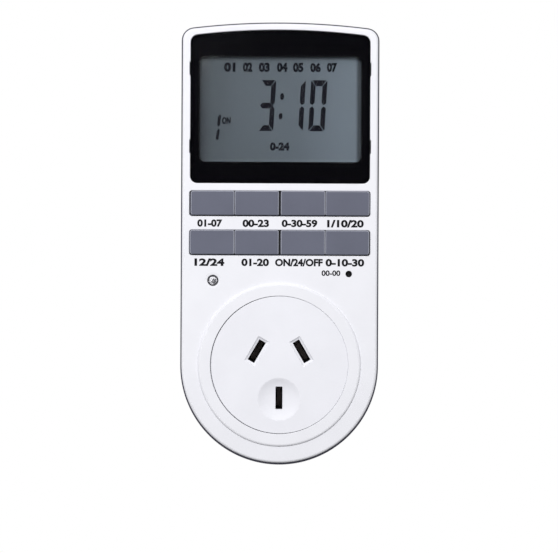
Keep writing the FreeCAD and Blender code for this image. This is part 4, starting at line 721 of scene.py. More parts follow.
class PieceOperator:
    """Shared by the operators: each one makes its pieces by the settings of its area."""
    bl_options = {"REGISTER", "UNDO"}
    area = "casing"

    def execute(self, context):
        self.make(settings(context, self.area))
        return {"FINISHED"}


# Casing

class PLUGTIMER_OT_front_casing(PieceOperator, bpy.types.Operator):
    """Builds the front half of the casing with its openings and raised ring"""
    bl_idname = "plug_timer.front_casing"
    bl_label = "Front casing"

    def make(self, look):
        form = Form()
        face, inner = self.sides(form, look)
        lip = mm(look.opening_edge)
        holes = self.holes(form, lip)
        socket = self.raised_ring(form, mm(look.ring_edge), lip / 2)
        form.fill([face, socket[0]] + [rings[0] for rings in holes])
        posts = self.posts(form)
        form.fill([inner[-1], socket[-1]] + [rings[-1] for rings in holes]
                  + [post[0] for post in posts])
        # The second finish is painted shade on the strip round the face's edge.
        form.build("front_casing_shell", "casing_white", casing_finish(look.colour),
                   moulded("casing_edge", look.painted_edge_light, 0.6, Specular_IOR_Level=0.03),
                   nodes=["front_casing"])

    def sides(self, form, look):
        """The wall, with a strip that leans inward just below the face's edge, coloured dark as
        painted shade round the outline.
        """
        edge, lean, seam = mm(look.edge), mm(look.edge_lean), mm(look.seam)
        start = FACE - edge - BROW_DEPTH

        def brow_loop(inset):
            return casing_loop(inset, FOOT_LIFT * min(inset, lean))
        side = form.sweep(casing_loop, [(seam, SPLIT), (0.0, SPLIT + seam), (0.0, start)])
        brow = rounding(lean, FACE, edge, 8)
        # The strip below the face's edge takes the dark colour of painted shade.
        form.finish_index = 1
        form.sweep(brow_loop, [(0.0, start)] + brow[:2])
        form.finish_index = 0
        face = form.sweep(brow_loop, brow[1:])[-1]
        seat = SPLIT + 1.5
        inner = form.sweep(casing_loop, [(1.0, SPLIT), (1.0, seat), (WALL, seat),
                                         (WALL, PANEL_BACK)])
        form.bridge(side[0], inner[0])
        return face, inner

    def holes(self, form, lip):
        """Window, both key openings, lamp hole and reset hole."""
        def hole(loop, radius=lip):
            edge = rounding(0.0, FACE, radius, 4, side=-1)[::-1]
            return form.sweep(loop, edge + [(0.0, PANEL_BACK)])
        holes = [hole(notched_loop)]
        for row in KEY_ROWS:
            holes.append(hole(shrinking_box(-OPENING_HALF, OPENING_HALF, row - OPENING_BELOW,
                                            row + OPENING_ABOVE, OPENING_CORNER)))
        dip = [(-0.8, FACE), (-0.68, FACE - 0.015), (-0.1, FACE - 0.13), (0.0, FACE - 0.25),
               (0.0, PANEL_BACK)]
        holes.append(form.sweep(lambda inset: circle(*LAMP, LAMP_HOLE - inset, 40), dip))
        holes.append(hole(lambda inset: circle(*RESET, 1.0 - inset, 36), 0.12))
        return holes

    def raised_ring(self, form, slope, brink):
        """The ring's foot, its slope and the edge of the socket's hole."""
        profile = [(RING_RADIUS + 0.25, FACE), (RING_RADIUS + 0.1, FACE + 0.02),
                   (RING_RADIUS, FACE + 0.1)]
        foot = FACE + RING_FOOT
        for step in range(7):
            angle = math.pi / 2 * step / 6
            profile.append((RING_RADIUS - slope * (1 - math.cos(angle)),
                            foot + (RING_FRONT - foot) * math.sin(angle)))
        profile += rounding(SOCKET_HOLE, RING_FRONT, brink, 4)[::-1] + [(SOCKET_HOLE, PANEL_BACK)]
        return form.lathe(0, RING_UP, profile, 144)

    def posts(self, form):
        """Screw bosses and the posts that carry the control board."""
        boss = [(2.7, PANEL_BACK), (2.7, SPLIT), (1.45, SPLIT), (1.45, SPLIT + 11.2),
                (0.5, SPLIT + 11.4)]
        post = [(1.9, PANEL_BACK), (1.9, 29.5), (0.95, 29.5), (0.95, 33.7), (0.3, 33.8)]
        posts = [form.lathe(*place, boss, 24) for place in SCREW_PLACES]
        posts += [form.lathe(25.2 * side, RESET[1] - 5.9, post, 20) for side in (-1, 1)]
        for rings in posts:
            form.face(rings[-1])
        return posts


class PLUGTIMER_OT_rear_casing(PieceOperator, bpy.types.Operator):
    """Builds the rear half of the casing with its screw wells and plug boss"""
    bl_idname = "plug_timer.rear_casing"
    bl_label = "Rear casing"

    def make(self, look):
        seam = mm(look.seam)
        form = Form()
        outer = form.sweep(casing_loop, [(seam, SPLIT), (0.0, SPLIT - seam)]
                           + rounding(0.0, BACK, mm(look.back_edge), 8, facing=-1))
        lip = SPLIT + 1.4
        inner = form.sweep(casing_loop, [(1.1, SPLIT), (1.1, lip), (WALL, lip), (WALL, REAR_FLOOR)])
        form.bridge(outer[0], inner[0])

        boss = form.lathe(0, 0, [(21.4, BACK), (21.12, BACK - 0.1), (21.0, BACK - 0.3), (21.0, 0.3),
                                 (20.9, 0.09), (20.7, 0)], 128)
        wells = []
        for across, up in SCREW_PLACES:
            column = 3.8 if up > 0 else 3.2
            profile = [(2.95, BACK), (2.84, BACK + 0.04), (2.8, BACK + 0.15), (2.8, SCREW_SEAT),
                       (1.6, SCREW_SEAT), (1.6, SPLIT), (column, SPLIT), (column, REAR_FLOOR)]
            wells.append(form.lathe(across, up, profile, 40))
        slots = [form.sweep(shrinking_blade(blade, *PIN_HOLE),
                            [(-0.15, 0.0), (0.0, 0.15), (0.0, REAR_FLOOR)]) for blade in BLADES]
        form.fill([outer[-1], boss[0]] + [well[0] for well in wells])
        form.fill([boss[-1]] + [slot[0] for slot in slots])
        form.fill([inner[-1]] + [rings[-1] for rings in wells + slots])
        for middle in CATCH_PLACES:
            sides = (middle - CATCH_HALF, middle + CATCH_HALF)
            form.box(*sides, CATCH_UP, CATCH_UP + 1.0, REAR_FLOOR - 0.2, CATCH_END)
            form.box(*sides, CATCH_UP, CATCH_UP + 1.8, CATCH_END - 0.8, CATCH_END)
        form.build("rear_casing_shell", "casing_white", casing_finish(look.colour),
                   nodes=["rear_casing"])


# Display

class PLUGTIMER_OT_window(PieceOperator, bpy.types.Operator):
    """Builds the clear window in front of the display"""
    bl_idname = "plug_timer.window"
    bl_label = "Window"

    def make(self, look):
        form = Form()
        profile = [(PANE_GAP, PANE_LOW.y)] + rounding(PANE_GAP, PANE_HIGH.y, 0.3, 4)
        rings = form.sweep(window_loop, profile)
        form.fill([rings[0]])
        form.fill([rings[-1]])
        clear = clear_plastic("clear_window", (1.0, 1.0, 1.0), 1.09)
        pane = form.build("window_pane", "clear_window", clear, nodes=["display_window"])
        pane.visible_shadow = False
        pane.visible_diffuse = False


class PLUGTIMER_OT_surround(PieceOperator, bpy.types.Operator):
    """Builds the glossy black surround with its deep edge down to the display"""
    bl_idname = "plug_timer.surround"
    bl_label = "Display surround"
    area = "display"

    def make(self, look):
        front = PANE_LOW.y
        back = front - SURROUND_THICK
        form = Form()
        plate = form.tube(notched_loop(PANE_GAP * 2), back, front)
        view = form.sweep(shrinking_box(*VIEW, VIEW_CORNER, steps=10),
                          rounding(0.0, front, 0.35, 4, side=-1)[::-1]
                          + [(0.0, GLASS_FRONT), (-1.0, GLASS_FRONT), (-1.0, back)])
        form.fill([plate[1], view[0]])
        form.fill([plate[0], view[-1]])
        for side in (-1, 1):
            form.close(form.lathe(side * 24.6, 98.7, [(1.6, back), (1.6, 29.5)], 20))
        black = moulded("surround_black", look.surround, 0.2, mottle=0.05, Specular_IOR_Level=0.06)
        form.build("display_bezel", "surround_black", black, nodes=["display_surround"])


SEGMENTS = {
    "0": "abcdef", "1": "bc", "2": "abged", "3": "abgcd", "4": "fgbc",
    "5": "afgcd", "6": "afgedc", "7": "abc", "8": "abcdefg", "9": "abcdfg",
}


def segment_shapes(left, right, low, high, thick):
    """The seven bars of a figure, with mitred ends and small gaps."""
    gap, half, thin = 0.17, thick / 2, thick * 0.81
    middle = (low + high) / 2
    near = right - thin
    foot, top = middle + gap, high - gap * 1.5
    shapes = {
        "a": [(left + gap * 2, high), (right - gap * 2, high), (near - gap * 0.5, high - thick),
              (left + thin + gap * 0.5, high - thick)],
        "b": [(right - gap, top), (right, top - gap), (right, foot + thick * 0.35),
              (right - thin * 0.55, foot), (near, foot + half), (near, top - thick + gap)],
        "g": [(left + gap, middle), (left + thin * 0.65, middle + half),
              (near - gap, middle + half), (right - gap * 2.5, middle),
              (near - gap, middle - half), (left + thin * 0.65, middle - half)],
    }
    for letter, twin in (("d", "a"), ("c", "b")):
        shapes[letter] = [(x, low + high - z) for x, z in reversed(shapes[twin])]
    for letter, twin in (("f", "b"), ("e", "c")):
        shapes[letter] = [(left + right - x, z) for x, z in reversed(shapes[twin])]
    return shapes


class PLUGTIMER_OT_display(PieceOperator, bpy.types.Operator):
    """Finishes the display, its frame and its rubber strip, and draws the reading"""
    bl_idname = "plug_timer.display"
    bl_label = "Display and reading"
    area = "display"

    def make(self, look):
        dress(display_finish("display_face", look.face), 0.0, "lcd_panel")
        dress(moulded("frame_white", (0.7, 0.7, 0.71), 0.5), 0.12, "lcd_holder")
        dress(banded("strip_rubber", grey(0.5), grey(0.02), 3000.0, "X", 0.7), 0.0, "contact_strip")
        ink = moulded("display_marks", look.marks, 0.35, mottle=0.1, Specular_IOR_Level=0.04)
        self.time_figures(look).build("time_figures", "display_glass", ink)
        self.small_figures().build("small_figures", "display_glass", ink)

    def time_figures(self, look):
        """Three large figures and the two dots between them."""
        form = Form()
        low, high = 71.6, 87.3
        for figure, left, right in ((look.hours[-1:], -6.9, -2.15), (look.minutes[:1], 1.95, 6.95),
                                    (look.minutes[-1:], 8.58, 13.62)):
            shapes = segment_shapes(left, right, low, high, 1.82)
            for letter in SEGMENTS[figure]:
                loop = [(x + (z - low) * FIGURE_LEAN, z) for x, z in shapes[letter]]
                form.prism(loop, INK_BACK, INK_FRONT)
        for across, up in ((0.53, 82.24), (0.1, 76.17)):
            oval = [(across + (x - across) * 0.58 + (z - up) * FIGURE_LEAN, z)
                    for x, z in circle(across, up, 1.05, 28)]
            form.prism(oval, INK_BACK, INK_FRONT)
        return form

    def small_figures(self):
        """The small figure at the left, the row of numbers above and the range below."""
        form = Form()
        for foot, top in ((68.75, 72.25), (72.95, 76.7)):
            loop = [(-19.5, foot), (-18.98, foot + 0.3), (-18.92, top - 0.35), (-19.3, top),
                    (-19.82, top - 0.8), (-19.88, foot + 0.4)]
            leaning = [(x + (z - 68.6) * FIGURE_LEAN * 1.6, z) for x, z in loop]
            form.prism(leaning, INK_BACK, INK_FRONT)
        levels = (INK_BACK, INK_FRONT)
        form.add_text("ON", (-18.0, -15.3, 73.65, 75.85), levels, 0.06, 0.06)
        days = ((-17.42, -13.85), (-11.57, -8.65), (-6.68, -3.32), (-1.1, 2.16), (3.83, 7.06),
                (9.15, 12.39), (14.27, 17.44))
        for number, sides in enumerate(days, 1):
            form.add_text("%02d" % number, (*sides, 89.75, 92.68), levels, 0.062)
        form.add_text("0-24", (-3.17, 2.86, 65.58, 68.13), levels, 0.062)
        return form


# Keys and printing

class PLUGTIMER_OT_keys(PieceOperator, bpy.types.Operator):
    """Builds the eight key caps, each on its own body"""
    bl_idname = "plug_timer.keys"
    bl_label = "Keys"
    area = "keys"

    def make(self, look):
        # The second finish is a painted highlight on the keys' rounded edges.
        finishes = (
            moulded("key_grey", look.colour, 0.46, grain=3500.0, depth=0.000003, mottle=0.05),
            moulded("key_edge", look.painted_edge_light, 0.3, mottle=0.05),
        )
        for name in KEY_NAMES:
            form = self.key(name, mm(look.edge))
            form.build(name + "_key_cap", "key_grey", *finishes, body=name + "_key",
                       nodes=[name + "_key"])

    def key(self, name, edge):
        """A cap whose rounded edge is lighter as a painted highlight on its top and sides, and its
        flange, hollow and stem behind the panel.
        """
        low, high = node_box(name + "_key")
        row = min(KEY_ROWS, key=lambda level: abs(level - (low.z + high.z) / 2))
        foot, top = row - CAP_BELOW, row + CAP_ABOVE
        outer = name in OUTER_KEYS
        left_corner = OPENING_CORNER if outer and low.x < 0 else CAP_CORNER
        right_corner = OPENING_CORNER if outer and low.x > 0 else CAP_CORNER
        left, right = low.x + CAP_TRIMS[name][0], high.x - CAP_TRIMS[name][1]
        if abs(abs(left) - PAIR_MEETS) < 1:
            left = math.copysign(PAIR_MEETS, left) + PAIR_GAP / 2
        if abs(abs(right) - PAIR_MEETS) < 1:
            right = math.copysign(PAIR_MEETS, right) - PAIR_GAP / 2
        form = Form()

        def cap(inset):
            return box_loop(left + inset, right - inset, foot + inset, top - inset,
                            right_corner - inset * 0.9, left_corner - inset * 0.9)
        panel = PANEL_BACK - 0.1
        wall = form.ring(cap(0), panel)
        # The rounded edge takes the lighter finish, a painted highlight.
        form.finish_index = 1
        rings = form.sweep(cap, [(0.0, high.y - edge), (edge * 0.08, high.y - edge * 0.55),
                                 (edge * 0.4, high.y - edge * 0.2), (edge, high.y)])
        form.finish_index = 0
        # Faces along the bottom go back to the key's own colour, so the painted highlight shows on
        # the top and sides only.
        for face in form.mesh.faces:
            if face.calc_center_median().z < foot + edge:
                face.material_index = 0
        form.bridge(wall, rings[0])
        form.fill([rings[-1]])
        back = max(low.y, PANEL_BACK - 1.0)
        ceiling = FACE - CAP_WALL
        flange = form.tube(box_loop(min(left, low.x), max(right, high.x), low.z, high.z, 0.2),
                           back, panel)
        hollow = form.tube(box_loop(left + CAP_WALL, right - CAP_WALL, foot + CAP_WALL,
                                    top - CAP_WALL, 0.3), back, ceiling)
        form.fill([flange[1], wall])
        form.fill([flange[0], hollow[0]])
        stem = form.tube(square_loop((low.x + high.x) / 2, (low.z + high.z) / 2, STEM_HALF, 0.3),
                         ceiling, low.y)
        form.face(stem[1])
        form.fill([hollow[1], stem[0]])
        return form


PRINTED = (
    ("01-07", -25.25, -17.6, 41.93),
    ("00-23", -11.4, -3.3, 41.93),
    ("0-30-59", 0.58, 11.5, 41.93),
    ("1/10/20", 14.5, 25.7, 41.93),
    ("12/24", -26.06, -16.9, 29.98),
    ("01-20", -11.7, -3.25, 29.98),
    ("ON/24/OFF", -1.38, 13.2, 29.98),
    ("0-10-30", 14.06, 25.9, 29.98),
)


class PLUGTIMER_OT_printing(PieceOperator, bpy.types.Operator):
    """Prints the plain numbers under the keys and by the reset hole"""
    bl_idname = "plug_timer.printing"
    bl_label = "Printed numbers"

    def make(self, look):
        form = Form()
        levels = (FACE + 0.003, FACE + 0.023)
        for text, left, right, low in PRINTED:
            form.add_text(text, (left, right, low, low + 2.32), levels, 0.045)
        form.add_text("00-00", (12.86, 18.6, 27.08, 28.8), levels, 0.03)
        ink = moulded("printing_ink", look.ink, 0.5, mottle=0.2, Specular_IOR_Level=0.1)
        form.build("printed_numbers", "surround_black", ink)


# Lamp and switches

class PLUGTIMER_OT_lamp(PieceOperator, bpy.types.Operator):
    """Builds the clear pilot lamp with the cup and post inside it"""
    bl_idname = "plug_timer.lamp"
    bl_label = "Pilot lamp"

    def make(self, look):
        low, high = node_box("pilot_lamp")
        tip = high.y
        back = tip - 5.0
        across, up = LAMP
        lens = Form()
        dome_radius, dome_height = 1.3, 0.55
        # The flank round the dome is coloured dark as painted shade, giving the dark ring round the
        # lens in its hole.
        flank = [(1.9, back), (1.9, back + 1.0), (1.62, back + 1.0), (1.62, tip - 1.0),
                 (1.55, tip - 0.7), (dome_radius, tip - dome_height)]
        lens.face(lens.lathe(across, up, flank, 40)[0])
        lens.finish_index = 1
        dome = []
        for angle in map(math.radians, range(0, 90, 12)):
            dome.append((dome_radius * math.cos(angle), tip - dome_height * (1 - math.sin(angle))))
        lens.face(lens.lathe(across, up, dome, 40)[-1])
        # The first finish, on the flank, is painted shade.
        piece = lens.build("lamp_lens", "lamp_clear",
                           moulded("lamp_flank", (0.07, 0.07, 0.08), 0.25, Specular_IOR_Level=0.2),
                           clear_plastic("lamp_clear", (0.96, 0.96, 0.97), 1.03),
                           nodes=["pilot_lamp"])
        piece.visible_shadow = False

        cup = Form()
        cup.close(cup.lathe(across, up, [(1.2, back + 0.2), (1.28, tip - 1.4), (1.22, tip - 1.05),
                                         (0.9, tip - 0.8), (0.4, tip - 0.72)], 36))
        cup.build("lamp_cup", "can_steel", moulded("cup_silver", (0.4, 0.4, 0.42), 0.4, mottle=0.1))

        post = Form()
        post.close(post.lathe(across + 0.22, up - 0.12, [(0.8, tip - 1.2), (0.84, tip - 0.84),
                                                         (0.55, tip - 0.66)], 28))
        for leg in (across - 1.27, across + 1.27):
            post.box(leg - 0.25, leg + 0.25, up - 0.25, up + 0.25, low.y, back + 0.02, 0.05)
        post.build("lamp_post", "can_steel",
                   moulded("lead_frame", (0.1, 0.1, 0.11), 0.4, mottle=0.1))


class PLUGTIMER_OT_switches(PieceOperator, bpy.types.Operator):
    """Builds the nine switch buttons and finishes their bases and covers"""
    bl_idname = "plug_timer.switches"
    bl_label = "Switches"

    def make(self, look):
        black = moulded("button_black", (0.012, 0.012, 0.014), 0.5)
        for name in KEY_NAMES + ("reset",):
            node = name + "_button"
            low, high = node_box(node)
            form = Form()
            form.close(form.lathe((low.x + high.x) / 2, (low.z + high.z) / 2, [
                (1.55, low.y), (1.65, low.y + 0.1), (1.65, high.y - 0.2), (1.45, high.y)], 28))
            body = "reset" if name == "reset" else name + "_key"
            form.build(name + "_plunger", "button_black", black, body=body, nodes=[node])
        dress(moulded("switch_black", (0.02, 0.02, 0.022), 0.5), 0.1, "switch_bases")
        dress(metal("sheet_steel", (0.62, 0.63, 0.65), 0.3), 0.06, "switch_covers")


# Socket and plug

class PLUGTIMER_OT_socket(PieceOperator, bpy.types.Operator):
    """Builds the round socket face with its slots, earth dish and chambers"""
    bl_idname = "plug_timer.socket"
    bl_label = "Socket face"
    area = "socket"

    def make(self, look):
        form = Form()
        rim = rounding(DISC_RADIUS, DISC_FRONT, mm(look.edge), 5, side=-1)[::-1]
        rim += [(DISC_RADIUS, PANEL_BACK), (FLANGE_RADIUS, PANEL_BACK),
                (FLANGE_RADIUS, FLANGE_BACK)]
        disc = form.lathe(*DISC_PLACE, rim, 144)
        mouths = []
        throats = {}
        for blade in ("active", "neutral"):
            profile = [(inset, DISC_FRONT - depth) for inset, depth in SLOT_MOUTH]
            mouths.append(form.sweep(shrinking_blade(blade, *MOUTH), profile)[0])
            # The throat is coloured dark as painted shade.
            form.finish_index = 1
            throat = form.tube(blade_loop(blade, *THROAT), profile[-1][1], FLANGE_BACK)
            throats[blade] = throat[-1]
            form.finish_index = 0
        dish_edge, throats["earth"] = self.dish(form, mm(look.dish))
        form.fill([disc[0], dish_edge] + mouths)
        form.fill([disc[-1]] + self.towers(form, throats))
        # The second finish is painted shade in the slots' throats and chambers.
        form.build("socket_face", "insert_white",
                   moulded("insert_white", look.colour, 0.5, Specular_IOR_Level=0.06),
                   moulded("slot_lining", look.inside, 0.6, mottle=0.2, Specular_IOR_Level=0.08),
                   nodes=["socket_insert"])

    def dish(self, form, depth):
        """The dish and the earth slot in it; returns its outer edge and the slot's far end."""
        across, up, _ = BLADES["earth"]
        dish_up = up - 0.4
        reach = 6.5
        rings = 12
        runs = 10

        def level(x, z):
            out = min(1.0, math.hypot(x - across, z - dish_up) / reach)
            return DISC_FRONT - depth * (1 - out ** 2.6)
        rims = form.lathe(across, dish_up, [(reach + 0.12, DISC_FRONT), (reach, DISC_FRONT - 0.02)],
                          72)
        slot = form.ring(blade_loop("earth", 7.45, 2.65, 0.3, runs), level)
        points = []
        for ring in range(1, rings):
            for x, z in circle(across, dish_up, reach * ring / rings, 12 + ring * 5):
                if not (abs(x - across) < 1.6 and abs(z - up) < 4.0):
                    points.append((x, z))
        form.fill([rims[-1], slot], points, level)
        lip = form.ring(blade_loop("earth", 7.0, 2.2, 0.2, runs), lambda x, z: level(x, z) + 0.03)
        form.bridge(slot, lip)
        throat_loop = blade_loop("earth", 6.85, 2.05, 0.12, runs)
        brink = form.ring(throat_loop, lambda x, z: level(x, z) - 0.1)
        form.bridge(lip, brink)
        # The earth slot's throat is coloured dark as painted shade.
        form.finish_index = 1
        throat = form.ring(throat_loop, FLANGE_BACK)
        form.bridge(brink, throat)
        form.finish_index = 0
        return rims[0], throat

    def towers(self, form, throats):
        """The contact chambers and the screw bosses behind the disc; returns their feet."""
        end = node_box("socket_insert")[0].y
        feet = []
        for blade in BLADES:
            tower = form.sweep(shrinking_blade(blade, *TOWER),
                               [(0.0, FLANGE_BACK), (0.0, end), (1.1, end)])
            feet.append(tower[0])
            # The chamber walls are coloured dark as painted shade.
            form.finish_index = 1
            chamber = form.ring(blade_loop(blade, *CHAMBER), FLANGE_BACK)
            form.bridge(tower[-1], chamber)
            form.fill([chamber, throats[blade]])
            form.finish_index = 0
        for place in INSERT_SCREWS:
            profile = [(2.0, FLANGE_BACK), (2.0, end), (0.95, end), (0.95, end + 6)]
            boss = form.lathe(*place, profile, 24)
            feet.append(boss[0])
            form.face(boss[-1])
        return feet


class PLUGTIMER_OT_pins(PieceOperator, bpy.types.Operator):
    """Builds the plug pins and their insulating sleeves"""
    bl_idname = "plug_timer.pins"
    bl_label = "Plug pins"
    area = "socket"

    def make(self, look):
        brass = metal("pin_brass", look.pin, 0.24, (2500.0, 60.0, 2500.0), 0.8)
        wide, thick = BLADE_WIDE, BLADE_THICK
        for blade in BLADES:
            low, high = node_box(blade + "_pin")
            tip = low.y
            neck, step = (0.0, -0.2) if blade == "earth" else (0.3, -SLEEVE_LENGTH)
            full, slim = (wide, thick, 0.3), (wide - 2 * neck, thick - 2 * neck, 0.25)
            shoulder, tail = (9.4, thick, 0.3), (4.0, thick, 0.3)
            sizes = [
                ((wide - 1.1, 0.7, 0.2), tip), ((wide - 0.55, 1.1, 0.25), tip + 0.12),
                (full, tip + 0.6), (full, step), (slim, step), (slim, 0.0), (full, 0.0),
                (full, 3.5), (shoulder, 3.5), (shoulder, 5.1), (tail, 5.1), (tail, high.y),
            ]
            form = Form()
            form.close(form.sweep(lambda size: blade_loop(blade, *size), sizes))
            form.build(blade + "_blade", "pin_brass", brass, nodes=[blade + "_pin"])

        sleeves = Form()
        end = -SLEEVE_LENGTH
        for blade in ("active", "neutral"):
            rings = sleeves.sweep(
                lambda inset: blade_loop(blade, wide - 2 * inset, thick - 2 * inset, 0.45 - inset),
                [(0.3, end), (0.12, end), (0.0, end + 0.15), (0.0, 0.0), (0.3, 0.0)])
            sleeves.bridge(rings[-1], rings[0])
        black = moulded("sleeve_black", (0.012, 0.012, 0.013), 0.45)
        sleeves.build("sleeves", "sleeve_black", black, nodes=["pin_sleeves"])
        dress(moulded("carrier_black", (0.016, 0.016, 0.018), 0.5), 0.2,
              "pin_holder", "contact_carrier")
        dress(metal("contact_bronze", (0.33, 0.29, 0.28), 0.5), 0.08, "active_contact",
              "neutral_contact", "earth_contact", "neutral_strap", "earth_strap")


# Screws

def cross_loop(across, up, reach, width):
    """The outline of a cross recess."""
    w = width / 2
    corners = [(reach, -w), (reach, w), (w, w), (w, reach), (-w, reach), (-w, w),
               (-reach, w), (-reach, -w), (-w, -w), (-w, -reach), (w, -reach), (w, -w)]
    return [(across + x, up + z) for x, z in corners]


class PLUGTIMER_OT_screws(PieceOperator, bpy.types.Operator):
    """Builds the casing screws and finishes the small screws inside"""
    bl_idname = "plug_timer.screws"
    bl_label = "Screws"

    def make(self, look):
        steel = metal("screw_steel", (0.55, 0.56, 0.58), 0.3, (900.0, 900.0, 900.0))
        form = Form()
        for place in SCREW_PLACES:
            self.screw(form, place, head=2.5, height=1.8, shank=1.4, length=16.0)
        form.build("casing_screw_set", "screw_steel", steel, nodes=["casing_screws"])
        dress(steel, 0.15, "small_screws")

    def screw(self, form, place, head, height, shank, length):
        """A pan-head screw with a cross recess, whose point looks forward."""
        top = SCREW_SEAT - height
        point = SCREW_SEAT + length
        profile = [(shank * 0.4, point), (shank, point - shank), (shank, SCREW_SEAT),
                   (head, SCREW_SEAT), (head, SCREW_SEAT - height * 0.45),
                   (head * 0.93, SCREW_SEAT - height * 0.8), (head * 0.75, top)]
        rings = form.lathe(*place, profile, 28)
        form.face(rings[0])
        reach = head * 0.55
        mouth = form.ring(cross_loop(*place, reach, head * 0.26), top)
        form.fill([rings[-1], mouth])
        floor = form.ring(cross_loop(*place, reach * 0.55, head * 0.18), top + height * 0.55)
        form.bridge(mouth, floor)
        form.face(floor)


# Boards and what they carry

class PLUGTIMER_OT_boards(PieceOperator, bpy.types.Operator):
    """Finishes both boards, the chip, the crystal, the cell and the ribbon"""
    bl_idname = "plug_timer.boards"
    bl_label = "Boards"

    def make(self, look):
        board = circuit_board("board_blue", (0.003, 0.006, 0.014))
        dress(board, 0.0, "control_board", "power_board")
        cans = metal("can_steel", (0.62, 0.62, 0.63), 0.28)
        dress(cans, 0.2, "clock_crystal", "backup_battery")
        ribbon = banded("ribbon_grey", (0.45, 0.46, 0.48), (0.2, 0.2, 0.22), 390.0, "X", 0.5)
        dress(ribbon, 0.0, "ribbon_cable")
        for node, name, colour, rough, mottle, edge in (
            ("controller_chip", "chip_black", (0.015, 0.015, 0.016), 0.55, 0.02, 0.0),
            ("dropper_capacitor", "film_yellow", (0.75, 0.5, 0.05), 0.4, 0.02, 0.0),
            ("smoothing_capacitors", "can_sleeve", (0.02, 0.03, 0.09), 0.35, 0.02, 0.3),
            ("varistor", "varistor_blue", (0.03, 0.1, 0.35), 0.35, 0.08, 0.6),
            ("rectifier_diodes", "diode_black", (0.014, 0.014, 0.015), 0.4, 0.02, 0.2),
            ("surge_resistor", "resistor_tan", (0.5, 0.38, 0.22), 0.45, 0.06, 0.3),
            ("mains_leads", "lead_sheath", (0.35, 0.05, 0.03), 0.4, 0.02, 0.0),
        ):
            dress(moulded(name, colour, rough, mottle=mottle), edge, node)


class PLUGTIMER_OT_relay(PieceOperator, bpy.types.Operator):
    """Finishes the relay: base, cover, iron, winding and contacts"""
    bl_idname = "plug_timer.relay"
    bl_label = "Relay"

    def make(self, look):
        dress(moulded("relay_case", (0.02, 0.05, 0.16), 0.4), 0.3, "relay_base", "relay_cover")
        dress(metal("relay_iron", (0.5, 0.5, 0.5), 0.35), 0.1, "relay_yoke", "relay_armature")
        brass = metal("contact_brass", (0.72, 0.55, 0.27), 0.3)
        dress(brass, 0.05, "relay_contact_arm", "relay_fixed_contact")
        copper = banded("winding_copper", (0.62, 0.24, 0.1), (0.22, 0.07, 0.03), 2600.0, "Y", 0.35,
                        metallic=0.8)
        dress(copper, 0.0, "relay_coil")


# Stage

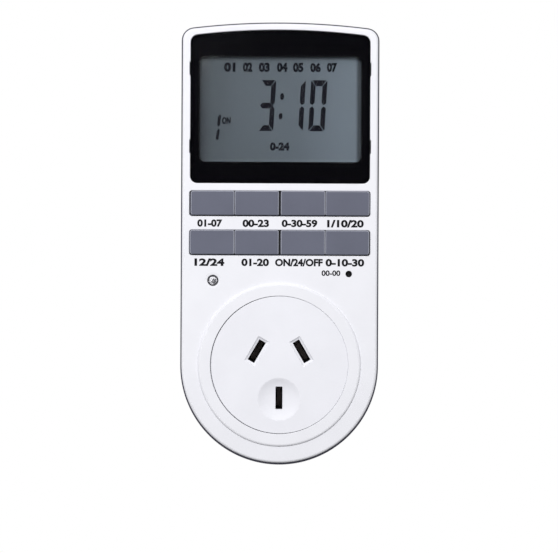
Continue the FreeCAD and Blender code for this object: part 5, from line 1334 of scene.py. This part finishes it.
class PLUGTIMER_OT_stage(PieceOperator, bpy.types.Operator):
    """Sets up the floor, the soft light, the white surroundings and the camera"""
    bl_idname = "plug_timer.stage"
    bl_label = "Stage"
    area = "stage"

    def make(self, look):
        scene = bpy.context.scene
        scene.view_settings.view_transform = "Standard"
        self.floor(look)
        self.surroundings(scene, look)
        self.light("main_light", look.key_power, look.key_place, 0.42)
        self.light("back_light", look.back_power, (0.0, 0.95, 0.22), 0.6)
        self.light("left_light", look.side_power, (-0.8, 0.3, 0.25), 0.5)
        self.light("right_light", look.side_power, (0.8, 0.3, 0.25), 0.5)
        self.camera(scene, look)

    def floor(self, look):
        shape = bmesh.new()
        level = -0.09
        corners = [(-0.9, -0.75), (0.9, -0.75), (0.9, 0.24), (-0.9, 0.24)]
        shape.faces.new([shape.verts.new((x, y, level)) for x, y in corners])
        data = bpy.data.meshes.new("floor")
        shape.to_mesh(data)
        shape.free()
        data.materials.append(floor_finish("floor_paper", look.floor))
        floor = bpy.data.objects.new("floor", data)
        bpy.context.collection.objects.link(floor)

    def surroundings(self, scene, look):
        """White behind the object and in its reflections, softer as a light."""
        world = bpy.data.worlds.new("surroundings")
        scene.world = world
        world.use_nodes = True
        tree = Tree(world.node_tree)
        background = tree.nodes["Background"]
        tree.put(background.inputs["Color"], (1.0, 1.0, 1.0, 1.0))
        rays = tree.node("ShaderNodeLightPath").outputs
        seen = rays["Is Camera Ray"]
        for kind in ("Is Glossy Ray", "Is Transmission Ray"):
            either = tree.node("ShaderNodeMath", {"operation": "MAXIMUM"}, {0: seen, 1: rays[kind]})
            seen = either.outputs[0]
        strength = tree.node("ShaderNodeMapRange", Value=seen, To_Min=look.surroundings, To_Max=1.0)
        tree.put(background.inputs["Strength"], strength.outputs["Result"])

    def light(self, name, power, place, size):
        """A large round light that looks at the middle of the object."""
        lamp = bpy.data.lights.new(name, "AREA")
        lamp.shape = "DISK"
        lamp.size = size
        lamp.energy = power
        holder = bpy.data.objects.new(name, lamp)
        away = Vector(place) - Vector((0.0, -0.02, 0.04))
        holder.location = place
        holder.rotation_euler = away.to_track_quat("Z", "Y").to_euler()
        holder.visible_camera = False
        holder.visible_glossy = False
        bpy.context.collection.objects.link(holder)

    def camera(self, scene, look):
        lens = bpy.data.cameras.new("camera")
        lens.lens = 180.0
        lens.sensor_width = 36.0
        lens.clip_end = 20.0
        camera = bpy.data.objects.new("camera", lens)
        camera.location = (-0.00016, -look.distance, 0.02685)
        camera.rotation_euler = (math.pi / 2, look.roll, 0.0)
        bpy.context.collection.objects.link(camera)
        scene.camera = camera


STEPS = (
    PLUGTIMER_OT_stage,
    PLUGTIMER_OT_front_casing,
    PLUGTIMER_OT_rear_casing,
    PLUGTIMER_OT_window,
    PLUGTIMER_OT_surround,
    PLUGTIMER_OT_display,
    PLUGTIMER_OT_keys,
    PLUGTIMER_OT_printing,
    PLUGTIMER_OT_lamp,
    PLUGTIMER_OT_switches,
    PLUGTIMER_OT_socket,
    PLUGTIMER_OT_pins,
    PLUGTIMER_OT_screws,
    PLUGTIMER_OT_boards,
    PLUGTIMER_OT_relay,
)

AREAS = {
    "casing": PLUGTIMER_PG_casing,
    "display": PLUGTIMER_PG_display,
    "keys": PLUGTIMER_PG_keys,
    "socket": PLUGTIMER_PG_socket,
    "stage": PLUGTIMER_PG_stage,
}


class PLUGTIMER_PT_pieces(bpy.types.Panel):
    """Lists the settings and the pieces"""
    bl_idname = "PLUGTIMER_PT_pieces"
    bl_label = "Plug-in Timer"
    bl_space_type = "VIEW_3D"
    bl_region_type = "UI"
    bl_category = "Plug-in Timer"

    def draw(self, context):
        layout = self.layout
        for area in AREAS:
            box = layout.box()
            box.label(text=area.capitalize())
            group = settings(context, area)
            for name in group.__annotations__:
                box.prop(group, name)
        for step in STEPS:
            layout.operator(step.bl_idname)


CLASSES = tuple(AREAS.values()) + STEPS + (PLUGTIMER_PT_pieces,)


def register():
    for item in CLASSES:
        bpy.utils.register_class(item)
    for area, group in AREAS.items():
        setattr(bpy.types.Scene, "plug_timer_" + area, bpy.props.PointerProperty(type=group))


def unregister():
    for area in AREAS:
        delattr(bpy.types.Scene, "plug_timer_" + area)
    for item in reversed(CLASSES):
        bpy.utils.unregister_class(item)


def main():
    """Builds every piece in order."""
    register()
    for step in STEPS:
        group, name = step.bl_idname.split(".")
        getattr(getattr(bpy.ops, group), name)()


if __name__ == "__main__":
    main()
